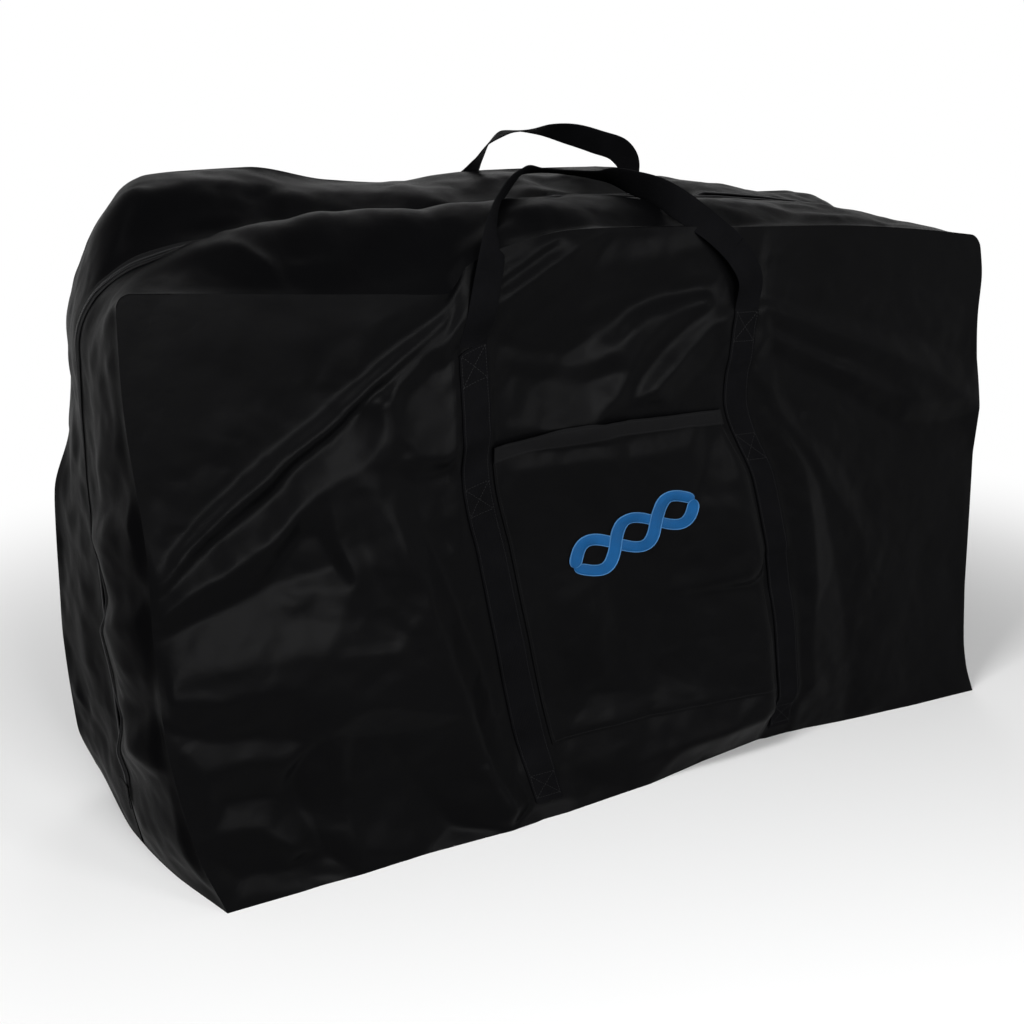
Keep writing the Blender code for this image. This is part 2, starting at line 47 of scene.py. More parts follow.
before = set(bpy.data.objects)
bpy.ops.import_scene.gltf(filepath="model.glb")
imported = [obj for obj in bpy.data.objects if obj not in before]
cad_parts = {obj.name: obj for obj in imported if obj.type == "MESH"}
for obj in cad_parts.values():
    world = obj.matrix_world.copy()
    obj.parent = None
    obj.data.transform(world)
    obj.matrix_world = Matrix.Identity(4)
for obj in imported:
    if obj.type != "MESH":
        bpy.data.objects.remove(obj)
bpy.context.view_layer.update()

# The flat cloth, in metres: half its length, half its depth, its height and its way round the outline
HALF_LENGTH = 0.65
HALF_DEPTH = 0.19
NOMINAL_HEIGHT = 0.80
GIRTH = 2 * NOMINAL_HEIGHT + 2 * HALF_LENGTH

# Steps of the grids: height maps and the front, the rear, the gussets
CELL = 0.005
REAR_CELL = 0.0065
GUSSET_CELL = 0.006

# The straps: how far from the middle they are sewn, from which height to which on each panel, and how far
# off the cloth they lie
STRAP_X = 0.20
STRAP_FOOT = 0.022
FRONT_FREE, REAR_FREE = 0.690, 0.665
PANELS = (("front", FRONT_FREE), ("rear", REAR_FREE))
STRAP_OFF = 0.0006

# The camera that took the photograph, fitted to the bag's corners
PHOTO_SIZE = 1024
FOCAL_PIXELS = 1364
CAMERA_AZIMUTH = -26.9
CAMERA_ELEVATION = 18.0
CAMERA_ROLL = -1.1
CAMERA_DISTANCE = 2.05
CAMERA_TARGET = (-0.082, 0, 0.394)


# Smooth lines and height maps

def flow(places, values, x):
    """Smooth line through the values at the places, without overshoot, read at x."""
    xs = np.asarray(places, float)
    x = np.clip(np.asarray(x, float), xs[0], xs[-1])
    ys = np.asarray(values, float)
    if ys.ndim == 1:
        ys = ys.reshape((-1,) + (1,) * x.ndim)
    ys = np.broadcast_to(ys, (len(xs),) + x.shape)
    slope = np.diff(ys, axis=0) / np.diff(xs).reshape((-1,) + (1,) * x.ndim)
    product = slope[1:] * slope[:-1]
    total = slope[1:] + slope[:-1]
    inner = np.where(product > 0, 2 * product / np.where(total == 0, 1, total), 0)
    tangent = np.concatenate([slope[:1], inner, slope[-1:]])
    low = np.clip(np.searchsorted(xs, x, side="right") - 1, 0, len(xs) - 2)

    def pick(table, index):
        return np.take_along_axis(table, index[None], axis=0)[0]

    span = xs[low + 1] - xs[low]
    f = (x - xs[low]) / span
    rise = pick(ys, low) * (1 + 2 * f) * (1 - f) ** 2 + pick(ys, low + 1) * f * f * (3 - 2 * f)
    return rise + span * (pick(tangent, low) * f * (1 - f) ** 2 - pick(tangent, low + 1) * f * f * (1 - f))


def line(stops, x):
    """The smooth line through stops of a place and a value, read at x."""
    places, values = zip(*stops)
    return flow(places, values, x)


def ease(x):
    """0 below 0 and 1 above 1, with a soft slope between."""
    x = np.clip(x, 0, 1)
    return x * x * (3 - 2 * x)


def blurred(grid, cells):
    """Grid softened by a bell curve that wide, in cells."""
    reach = max(1, int(cells * 3))
    bell = np.exp(-0.5 * (np.arange(-reach, reach + 1) / max(cells, 1e-6)) ** 2)
    bell /= bell.sum()
    for axis in (0, 1):
        padded = np.concatenate([
            np.repeat(grid.take([0], axis), reach, axis), grid, np.repeat(grid.take([-1], axis), reach, axis)
        ], axis)
        grid = np.apply_along_axis(lambda row: np.convolve(row, bell, "valid"), axis, padded)
    return grid


class Relief:
    """A height map over a flat piece of cloth: straight facets between fold lines, a little softened."""

    def __init__(self, low, high, lines, soft, cell=CELL):
        self.low, self.cell = low, cell
        self.shape = [int(round((high[k] - low[k]) / cell)) + 1 for k in (0, 1)]
        points, heights, edges = [], [], []
        for stops in lines:
            start = len(points)
            for x, z, h in stops:
                points.append(Vector((x, z)))
                heights.append(h)
            edges += [(start + k, start + k + 1) for k in range(len(stops) - 1)]
        verts, _, faces, sources, _, _ = delaunay_2d_cdt(points, edges, [], 0, 1e-4, True)
        level = []
        for vert, source in zip(verts, sources):
            if source:
                level.append(heights[source[0]])
                continue
            found = []
            for a, b in edges:
                along = points[b] - points[a]
                f = min(max((vert - points[a]).dot(along) / max(along.length_squared, 1e-12), 0), 1)
                found.append(((points[a] + along * f - vert).length, heights[a] * (1 - f) + heights[b] * f))
            found.sort()
            level.append((found[0][1] + found[1][1]) / 2)
        self.map = np.zeros(self.shape)
        for face in faces:
            a, b, c = (((verts[k].x - low[0]) / cell, (verts[k].y - low[1]) / cell) for k in face[:3])
            first = [max(0, int(math.floor(min(a[k], b[k], c[k])))) for k in (0, 1)]
            last = [min(self.shape[k] - 1, int(math.ceil(max(a[k], b[k], c[k])))) for k in (0, 1)]
            area = (b[0] - a[0]) * (c[1] - a[1]) - (b[1] - a[1]) * (c[0] - a[0])
            if abs(area) < 1e-9 or first[0] > last[0] or first[1] > last[1]:
                continue
            gx, gz = np.meshgrid(np.arange(first[0], last[0] + 1), np.arange(first[1], last[1] + 1),
                                 indexing="ij")
            wb = ((gx - a[0]) * (c[1] - a[1]) - (gz - a[1]) * (c[0] - a[0])) / area
            wc = ((b[0] - a[0]) * (gz - a[1]) - (b[1] - a[1]) * (gx - a[0])) / area
            inside = (wb >= -1e-6) & (wc >= -1e-6) & (wb + wc <= 1 + 1e-6)
            height = level[face[0]] * (1 - wb - wc) + level[face[1]] * wb + level[face[2]] * wc
            self.map[gx[inside], gz[inside]] = height[inside]
        if soft:
            self.map = blurred(self.map, soft / cell)

    def __call__(self, x, z):
        gx = np.clip((np.asarray(x) - self.low[0]) / self.cell, 0, self.shape[0] - 1.001)
        gz = np.clip((np.asarray(z) - self.low[1]) / self.cell, 0, self.shape[1] - 1.001)
        ix, iz = gx.astype(int), gz.astype(int)
        fx, fz = gx - ix, gz - iz
        m = self.map
        return (m[ix, iz] * (1 - fx) * (1 - fz) + m[ix + 1, iz] * fx * (1 - fz)
                + m[ix, iz + 1] * (1 - fx) * fz + m[ix + 1, iz + 1] * fx * fz)


def crumple(low, high, spacing, height, seed, soft, stretch=(1.0, 1.0)):
    """Small random facets, as creased nylon has."""
    dice = np.random.RandomState(seed)
    step = (spacing * stretch[0], spacing * stretch[1])
    lines = []
    for i in range(-1, int((high[0] - low[0]) / step[0]) + 3):
        for j in range(-1, int((high[1] - low[1]) / step[1]) + 3):
            shift = dice.uniform(-0.45, 0.45, 2)
            lines.append([(low[0] + (i + shift[0]) * step[0], low[1] + (j + shift[1]) * step[1],
                           height * dice.uniform(-1, 1))])
    return Relief(low, high, lines, soft)


def crumples(low, high, a, b, layers):
    """Creases of several sizes together, read at a and b. A layer is a spacing, height, seed and softness."""
    return sum(crumple(low, high, *layer)(a, b) for layer in layers)


# The bag's form

# How far the front cloth hangs off to the side, at four places along the bag, by flat height
LEAN = {
    -0.65: ((0, 0.035), (0.095, 0.005), (0.27, -0.016), (0.39, -0.016), (0.48, -0.013), (0.676, -0.022),
            (0.80, -0.018)),
    -0.20: ((0, 0.072), (0.18, 0.034), (0.40, -0.008), (0.53, -0.034), (0.69, -0.030), (0.80, -0.020)),
    0.20: ((0, 0.100), (0.06, 0.098), (0.24, 0.080), (0.44, 0.036), (0.57, -0.016), (0.65, -0.012),
           (0.80, 0.0)),
    0.65: ((0, 0.046), (0.052, 0.028), (0.105, 0.019), (0.186, 0.015), (0.409, 0.007), (0.544, 0.0),
           (0.679, -0.011), (0.731, -0.009), (0.80, -0.020)),
}
# Depths at which the outline is given. Each has the height of its top along the bag, the sideways shift of
# its left and right ends by flat height, and the radius of its upper corners.
STATIONS = (-0.19, -0.08, 0.0, 0.10, 0.19)
TOPS = (
    ((-0.65, 0.799), (-0.569, 0.792), (-0.45, 0.781), (-0.322, 0.770), (-0.248, 0.764), (-0.212, 0.797),
     (-0.155, 0.816), (-0.066, 0.829), (0.041, 0.825), (0.155, 0.817), (0.365, 0.806), (0.63, 0.776),
     (0.65, 0.772)),
    ((-0.65, 0.775), (-0.571, 0.814), (-0.482, 0.840), (-0.371, 0.853), (-0.276, 0.855), (-0.161, 0.857),
     (0.0, 0.850), (0.2, 0.838), (0.4, 0.820), (0.65, 0.772)),
    ((-0.65, 0.79), (-0.6, 0.800), (-0.5, 0.825), (-0.4, 0.832), (-0.25, 0.838), (-0.1, 0.848),
     (0.0, 0.852), (0.2, 0.842), (0.4, 0.820), (0.65, 0.757)),
    ((-0.65, 0.80), (-0.546, 0.885), (-0.45, 0.876), (-0.3, 0.858), (-0.1, 0.864), (0.1, 0.864),
     (0.28, 0.846), (0.45, 0.818), (0.573, 0.798), (0.65, 0.765)),
    ((-0.65, 0.815), (-0.604, 0.850), (-0.532, 0.899), (-0.484, 0.902), (-0.392, 0.903), (-0.275, 0.880),
     (-0.166, 0.871), (-0.101, 0.878), (-0.036, 0.881), (0.178, 0.877), (0.281, 0.859), (0.452, 0.823),
     (0.623, 0.817), (0.65, 0.812)),
)
LEFTS = (
    LEAN[-0.65],
    ((0, -0.005), (0.1, -0.025), (0.3, -0.045), (0.5, -0.040), (0.7, -0.030), (0.8, -0.020)),
    ((0, -0.022), (0.1, -0.034), (0.3, -0.036), (0.6, -0.036), (0.8, -0.030)),
    ((0, -0.035), (0.1, -0.045), (0.3, -0.055), (0.43, -0.050), (0.6, -0.030), (0.8, -0.020)),
    ((0, -0.045), (0.091, -0.065), (0.241, -0.069), (0.328, -0.065), (0.428, -0.059), (0.468, -0.055),
     (0.553, -0.025), (0.748, -0.005), (0.80, -0.004)),
)
RIGHTS = (
    LEAN[0.65],
    ((0, 0.045), (0.1, 0.038), (0.4, 0.035), (0.7, 0.020), (0.8, 0.0)),
    ((0, 0.030), (0.1, 0.035), (0.72, 0.035), (0.8, 0.020)),
    ((0, 0.030), (0.1, 0.040), (0.4, 0.045), (0.7, 0.030), (0.8, 0.010)),
    ((0, 0.0), (0.3, 0.015), (0.8, 0.0)),
)
ROUNDING = (0.018, 0.060, 0.085, 0.100, 0.100)

# How far the front cloth stands out round its edge: flat places and metres
FRONT_EDGE = (
    (-0.65, 0, 0.030), (-0.55, 0, 0.030), (-0.483, 0, 0.030), (-0.40, 0, 0.026), (-0.269, 0, 0.030),
    (-0.16, 0, 0.022), (-0.049, 0, 0.012), (0.06, 0, -0.010), (0.168, 0, -0.026), (0.26, 0, -0.020),
    (0.341, 0, -0.010), (0.50, 0, 0.002), (0.65, 0, 0.008), (0.65, 0.10, 0.004), (0.65, 0.2, 0),
    (0.65, 0.44, 0), (0.65, 0.52, 0.010), (0.65, 0.6, 0.002), (0.65, 0.80, 0), (0.3, 0.80, 0.003),
    (0.2, 0.80, 0), (0.1, 0.80, -0.006), (0.0, 0.80, -0.006), (-0.1, 0.80, -0.002), (-0.20, 0.80, 0.002),
    (-0.25, 0.80, 0.008), (-0.45, 0.80, 0.007), (-0.65, 0.80, 0.004), (-0.65, 0.54, 0),
    (-0.65, 0.45, 0.006), (-0.65, 0.40, 0.004), (-0.65, 0.27, 0.008), (-0.65, 0.10, 0.024),
    (-0.65, 0, 0.030),
)

# How much higher the front folds are made than the heights traced below
FOLD_SHARE = 1.35

# Folds of the front cloth, traced: where each shows in the photograph, in its pixels across and
# down, and how far it stands out, in millimetres. Cloth that rises to the lower right catches the light.
FRONT_FOLDS = (
    # the two long folds from the left handle down to the left edge, and the dark crease between them
    ((452, 298, 0), (400, 345, 0), (350, 386, 0), (300, 428, 0), (250, 468, 0), (205, 512, 0),
     (165, 558, 0)),
    ((450, 317, 9), (420, 345, 10), (382, 377, 11), (340, 421, 12), (307, 448, 12), (269, 482, 12),
     (227, 516, 11), (194, 548, 9), (161, 592, 6)),
    ((448, 323, 4), (415, 357, 3), (380, 388, 2), (357, 409, 2), (323, 443, 1), (298, 464, 1),
     (273, 495, 2), (252, 512, 2), (215, 542, 2), (180, 574, 2), (158, 601, 3)),
    ((455, 332, 9), (425, 352, 9), (398, 380, 10), (390, 402, 14), (386, 430, 15), (372, 462, 16),
     (357, 473, 16), (330, 490, 16), (307, 507, 16), (277, 540, 16), (236, 569, 15), (194, 594, 12),
     (152, 624, 8)),
    ((336, 566, 5), (318, 534, 4), (300, 535, 3), (257, 590, 2), (215, 611, 2), (173, 632, 1),
     (150, 648, 1)),
    ((382, 400, 14), (398, 432, 15), (407, 452, 13)),
    ((460, 345, 0), (430, 372, 0), (405, 395, 4)),
    # the broad belly, its edge towards the left strap, and the hollow beside the strap
    ((378, 468, 15), (400, 530, 23), (430, 600, 29), (455, 665, 32), (478, 720, 33), (500, 780, 33),
     (518, 812, 31)),
    ((400, 472, 9), (425, 530, 6), (455, 600, 4), (480, 660, 2), (500, 720, 2), (520, 775, 5),
     (533, 803, 8)),
    ((340, 545, 13), (356, 590, 19), (372, 650, 25)),
    ((362, 545, 13), (378, 590, 17), (396, 645, 24)),
    ((395, 464, 17), (425, 459, 18), (458, 455, 17)),
    ((412, 482, 6), (448, 470, 5), (446, 545, 1)),
    ((458, 480, 7), (460, 520, 6), (456, 560, 4)),
    ((180, 676, 14), (250, 668, 20), (330, 652, 25), (400, 650, 28)),
    # creases at the lower left
    ((165, 702, 17), (215, 706, 22), (262, 694, 25), (300, 690, 27), (338, 696, 28), (372, 706, 29)),
    ((292, 738, 12), (318, 744, 14)),
    ((296, 760, 17), (330, 737, 24), (340, 745, 26), (350, 800, 27), (358, 850, 25), (365, 878, 22)),
    ((354, 738, 15), (385, 738, 11), (412, 775, 7), (440, 812, 6), (455, 828, 8)),
    ((294, 775, 8), (305, 815, 8), (325, 850, 10)),
    ((178, 722, 12), (212, 742, 11), (255, 738, 13)),
    ((205, 775, 17), (250, 762, 18), (288, 770, 17)),
    ((225, 803, 9), (255, 797, 8), (280, 797, 8)),
    ((215, 838, 21), (262, 830, 20), (300, 850, 20)),
    ((240, 878, 14), (285, 868, 14), (320, 880, 16)),
    # the short bright folds right of the left handle, and the dark field under the top edge
    ((498, 268, 2), (530, 247, 2), (560, 232, 1)),
    ((498, 281, 7), (525, 262, 8), (557, 239, 6)),
    ((500, 287, 3), (527, 269, 3), (558, 247, 3)),
    ((500, 304, 11), (513, 294, 12), (545, 271, 12), (580, 248, 8)),
    ((500, 330, -1), (545, 303, -1), (592, 268, -2), (640, 255, -3), (690, 250, -3)),
    ((497, 343, -6), (530, 351, -8), (560, 355, -9), (590, 341, -9), (622, 318, -9), (650, 301, -8),
     (705, 289, -6)),
    # the fan of folds that gathers at the right handle
    ((508, 362, -5), (560, 366, -6), (597, 362, -2), (617, 350, 3), (632, 331, 4), (652, 315, 4),
     (700, 297, 1)),
    ((508, 374, -8), (545, 380, -8), (585, 384, -6), (608, 376, -3)),
    ((648, 342, 5), (672, 318, 6), (710, 300, 3)),
    ((652, 366, -3), (680, 334, -2), (712, 309, 0)),
    ((656, 392, 8), (682, 362, 10), (714, 322, 6)),
    ((668, 404, -3), (692, 386, -4), (716, 352, -1)),
    ((632, 372, 5), (618, 398, 7), (596, 424, 6)),
    ((642, 378, -2), (630, 404, -3)),
    ((502, 430, 5), (560, 432, 6), (598, 427, 6)),
    ((502, 446, 1), (560, 450, 0), (620, 441, -3), (700, 424, -4)),
    # the pocket, with the bright wedge and patch at its right and the dark hollow at its left
    ((505, 470, 3), (560, 466, 4), (620, 460, 3), (690, 447, 1)),
    ((520, 498, -2), (560, 492, -4), (620, 520, -6), (600, 570, -7)),
    ((722, 428, -4), (705, 456, -5), (690, 500, -7), (678, 560, -8), (664, 588, -8)),
    ((735, 470, 3), (742, 520, 6), (750, 572, 9)),
    ((668, 591, -6), (710, 584, 1), (752, 577, 8)),
    ((669, 597, -9), (710, 590, -5), (753, 583, -1)),
    ((662, 612, -11), (657, 640, -11), (657, 684, -9)),
    ((757, 610, 5), (765, 655, 10), (768, 688, 13)),
    ((596, 600, -5), (600, 640, -4), (604, 676, -4)),
    ((612, 600, -11), (617, 650, -11), (628, 678, -10)),
    ((548, 600, -8), (560, 650, -9), (570, 684, -10)),
    ((546, 697, -9), (580, 691, -10), (620, 689, -10), (655, 691, -8)),
    ((562, 764, 5), (600, 782, 7), (640, 764, 10), (690, 746, 15), (738, 730, 16), (766, 720, 15)),
    # the long folds right of the right handle
    ((760, 296, 0), (840, 318, 0), (895, 333, 0), (962, 352, 0)),
    ((763, 307, 6), (800, 319, 7), (840, 334, 8), (880, 347, 9), (930, 372, 12), (965, 396, 12)),
    ((770, 327, 0), (800, 342, 0), (835, 357, 1), (876, 372, 5)),
    ((770, 334, 5), (800, 350, 6), (835, 367, 7), (876, 388, 9), (917, 402, 11), (958, 401, 10)),
    ((772, 352, -3), (835, 386, -3), (900, 424, -2), (960, 420, 0)),
    ((742, 374, -1), (757, 420, 0), (775, 470, 1), (790, 530, 1), (800, 590, 1), (800, 680, 2)),
    ((750, 360, 4), (775, 405, 8), (800, 458, 11), (812, 510, 12), (817, 565, 11), (815, 620, 7),
     (812, 686, 5)),
    ((768, 398, 3), (798, 446, 5), (822, 492, 3), (835, 560, -2)),
    ((772, 392, 6), (800, 434, 8), (826, 478, 7), (850, 512, 4), (867, 538, 2)),
    ((782, 396, 1), (812, 432, 1), (850, 480, -1), (890, 540, -2)),
    ((880, 470, -1), (920, 560, -3), (900, 640, -2), (850, 660, -2)),
    ((800, 262, 1), (880, 264, 0), (940, 285, 0)),
    ((180, 350, 3), (300, 345, 4), (380, 320, 5)),
)


def corner_rounded(u, v, radius):
    """The flat cloth's upper corners, drawn in along rays to a round corner."""
    a = HALF_LENGTH - np.abs(u)
    b = NOMINAL_HEIGHT - v
    da, db = radius - a, radius - b
    inside = (da > 0) & (db > 0)
    reach = np.maximum(np.hypot(da, db), 1e-9)
    pull = np.where(inside, np.maximum(da, db) / reach, 1.0)
    new_a = np.where(inside, radius - da * pull, a)
    new_b = np.where(inside, radius - db * pull, b)
    return np.sign(u) * (HALF_LENGTH - new_a), NOMINAL_HEIGHT - new_b


def front_lean(u, v):
    """How far the front cloth hangs off to the side at a flat place."""
    columns = [line(LEAN[x], v) for x in sorted(LEAN)]
    return flow(sorted(LEAN), np.array(columns), u)


def to_cloth(x, z):
    """The place on the flat front cloth that hangs at x and z."""
    u, v = float(x), float(z)
    for _ in range(6):
        u = x - float(front_lean(np.array(u), np.array(min(max(v, 0), NOMINAL_HEIGHT))))
        v = z * NOMINAL_HEIGHT / float(line(TOPS[0], np.array(u)))
    return u, v


def camera_axes():
    """The camera's place and its axes to the right, up and back, as the photograph was taken."""
    azimuth, elevation, roll = (math.radians(a) for a in (CAMERA_AZIMUTH, CAMERA_ELEVATION, CAMERA_ROLL))
    back = Vector((
        math.sin(azimuth) * math.cos(elevation),
        -math.cos(azimuth) * math.cos(elevation),
        math.sin(elevation),
    ))
    level = Vector((0, 0, 1)).cross(back).normalized()
    up = back.cross(level)
    right = level * math.cos(roll) + up * math.sin(roll)
    return Vector(CAMERA_TARGET) + CAMERA_DISTANCE * back, right, back.cross(right), back


def seen_at(across, down, out):
    """The flat place of the front cloth that shows at these pixels, standing out that far."""
    place, right, up, back = camera_axes()
    half = PHOTO_SIZE / 2
    ray = right * ((across - half) / FOCAL_PIXELS) + up * ((half - down) / FOCAL_PIXELS) - back
    hit = place + ray * ((-HALF_DEPTH - out - place.y) / ray.y)
    return to_cloth(hit.x, hit.z)


def across_stations(y, values):
    return flow(STATIONS, np.array(values), y)


# How far the rear left corner lifts off the floor
CORNER_LIFT = 0.038


def hung(u, v, y):
    """Where a place of the bag's outline hangs, at depth y, before its folds."""
    radius = flow(STATIONS, ROUNDING, y)
    u, v = corner_rounded(u, v, radius)
    shifts, tops = [], []
    f = (u + HALF_LENGTH) / (2 * HALF_LENGTH)
    for k in range(len(STATIONS)):
        if k == 0:
            shifts.append(front_lean(u, v))
        else:
            shifts.append(line(LEFTS[k], v) * (1 - f) + line(RIGHTS[k], v) * f)
        tops.append(line(TOPS[k], u))
    f = ease((-0.50 - u) / 0.15) * ease((y - 0.04) / 0.15)
    lift = CORNER_LIFT * f * np.clip(1 - v / 0.22, 0, 1) ** 1.5
    return u + across_stations(y, shifts), v / NOMINAL_HEIGHT * across_stations(y, tops) + lift


def outline(t):
    """Flat place on the outline: up the left end, along the top and down the right end."""
    t = np.asarray(t, float)
    rise, run = NOMINAL_HEIGHT, 2 * HALF_LENGTH
    u = np.where(t < rise, -HALF_LENGTH, np.where(t < rise + run, t - rise - HALF_LENGTH, HALF_LENGTH))
    v = np.where(t < rise, t, np.where(t < rise + run, rise, 2 * rise + run - t))
    return u, v


def unit(vectors):
    return vectors / np.maximum(np.linalg.norm(vectors, axis=-1, keepdims=True), 1e-12)


class Form:
    """A piece of cloth in place: positions and outward normals over its flat coordinates."""

    def __init__(self, low, high, positions, flip=1.0):
        self.low = low
        self.place = positions
        self.step = [(high[k] - low[k]) / (positions.shape[k] - 1) for k in (0, 1)]
        along = np.gradient(positions, axis=0)
        across = np.gradient(positions, axis=1)
        self.normal = unit(np.cross(along, across)) * flip

    def read(self, table, a, b):
        n0, n1 = table.shape[:2]
        ga = np.clip((np.asarray(a) - self.low[0]) / self.step[0], 0, n0 - 1.001)
        gb = np.clip((np.asarray(b) - self.low[1]) / self.step[1], 0, n1 - 1.001)
        ia, ib = ga.astype(int), gb.astype(int)
        fa, fb = (ga - ia)[..., None], (gb - ib)[..., None]
        return (table[ia, ib] * (1 - fa) * (1 - fb) + table[ia + 1, ib] * fa * (1 - fb)
                + table[ia, ib + 1] * (1 - fa) * fb + table[ia + 1, ib + 1] * fa * fb)

    def at(self, a, b, out=0.0):
        return self.read(self.place, a, b) + unit(self.read(self.normal, a, b)) * np.asarray(out)[..., None]

    def facing(self, a, b):
        return unit(self.read(self.normal, a, b))


def grid_values(low, high, step):
    counts = [int(round((high[k] - low[k]) / step)) + 1 for k in (0, 1)]
    return np.meshgrid(np.linspace(low[0], high[0], counts[0]), np.linspace(low[1], high[1], counts[1]),
                       indexing="ij")


def front_relief():
    """Fold heights over the flat front cloth."""
    lines = [FRONT_EDGE]
    for stops in FRONT_FOLDS:
        moved = []
        for across, down, rise in stops:
            height = rise / 1000 * FOLD_SHARE
            u, v = seen_at(across, down, height)
            moved.append((min(max(u, -0.648), 0.648), min(max(v, 0.002), 0.798), height))
        lines.append(moved)
    low, high = (-HALF_LENGTH, 0.0), (HALF_LENGTH, NOMINAL_HEIGHT)
    folds = Relief(low, high, lines, 0.0038)
    creases = [crumple(low, high, 0.085, 0.0040, 11, 0.006, (1.4, 0.8)),
               crumple(low, high, 0.036, 0.0020, 12, 0.004),
               crumple(low, high, 0.017, 0.0008, 13, 0.002)]
    return folds, creases


def front_calm(u, v):
    """How crumpled the front cloth is: less on the flat upper left and the right field."""
    wild = 1.0 - 0.75 * ease((v - (0.62 + 0.62 * (u + 0.52))) / 0.06) * ease((-0.24 - u) / 0.05)
    wild = wild * (1 - 0.55 * ease((u - 0.40) / 0.06) * (1 - ease((v - 0.46) / 0.05)))
    wild = wild * (1 - 0.6 * ease((u - 0.24) / 0.06) * ease((v - 0.70) / 0.04))
    return wild


def panel_rim(u, v):
    """0 at a panel's edge and 1 inside, so that small creases die out at the seams."""
    return ease(np.minimum.reduce([HALF_LENGTH - np.abs(u), NOMINAL_HEIGHT - v, v + 0.004]) / 0.020)


def make_front():
    low, high = (-HALF_LENGTH, 0.0), (HALF_LENGTH, NOMINAL_HEIGHT)
    u0, v0 = grid_values(low, high, CELL)
    u, v = corner_rounded(u0, v0, ROUNDING[0])
    folds, creases = front_relief()
    small = 0.9 * creases[0](u, v) + 0.9 * creases[1](u, v) + creases[2](u, v)
    height = folds(u, v) + small * panel_rim(u0, v0) * front_calm(u, v)
    for side in (-1, 1):
        strap = np.full_like(v, side * STRAP_X)
        middle = folds(strap, v) + 0.4 * creases[0](strap, v)
        hold = 1 - ease((np.abs(u - strap) - 0.018) / 0.014)
        height = height * (1 - hold) + middle * hold
    x, z = hung(u0, v0, np.full_like(u0, -HALF_DEPTH))
    height = kept_off_floor(height, z)
    return Form(low, high, np.stack([x, -HALF_DEPTH - height, z], axis=-1))


# How far the front cloth may stand out, by height, so that it clears the floor when the bag is opened
FOLD_ROOM = ((0, 0.049), (0.05, 0.048), (0.08, 0.038), (0.10, 0.027), (0.112, 0.0195), (0.15, 0.026),
             (0.20, 0.035), (0.25, 0.0435), (0.29, 0.048), (1, 0.048))


def kept_off_floor(height, z):
    """The front cloth's heights, let in softly where the opened bag would press it into the floor."""
    room = line(FOLD_ROOM, z)
    over = np.maximum(height - room, 0)
    for _ in range(8):
        around = np.pad(over, 1, mode="edge")
        over = np.maximum.reduce([over, around[:-2, 1:-1], around[2:, 1:-1], around[1:-1, :-2],
                                  around[1:-1, 2:]])
    return np.minimum(height - blurred(over, 5), room)


def gusset_box(side):
    """Flat corners of a gusset half: its way round the outline, and its depth."""
    return (0.0, min(0.0, side * HALF_DEPTH)), (GIRTH, max(0.0, side * HALF_DEPTH))


def make_gusset(side):
    """Half of the gusset: from the front seam to the zip (-1), or from the zip to the rear seam (1)."""
    low, high = gusset_box(side)
    t, y = grid_values(low, high, CELL)
    x, z = hung(*outline(t), y)
    seam = form("front" if side < 0 else "rear").at(*outline(t[:, 0]))[..., 1]
    away = np.clip(np.abs(y) / HALF_DEPTH, 0, 1)
    depth = y + (seam[:, None] - side * HALF_DEPTH) * away ** 1.5
    place = np.stack([x, depth, z], axis=-1)
    small = crumples(low, high, t, y, ((0.075, 0.0045, 31 + side, 0.005), (0.034, 0.0022, 41 + side, 0.004),
                                       (0.016, 0.0008, 51 + side, 0.002)))
    seam_hold = ease((HALF_DEPTH - np.abs(y)) / 0.018)
    zip_hold = 0.15 + 0.85 * ease((np.abs(y) - 0.012) / 0.030)
    foot = ease(np.minimum(t, GIRTH - t) / 0.03)
    relief = gusset_relief(side)(t, y) * seam_hold + small * seam_hold * zip_hold * foot
    slider_run = ease((t - SLIDER_FROM) / 0.05) * (1 - ease((np.abs(y) - 0.02) / 0.02))
    relief = relief * (1 - slider_run)
    return Form(low, high, place + Form(low, high, place).normal * relief[..., None])


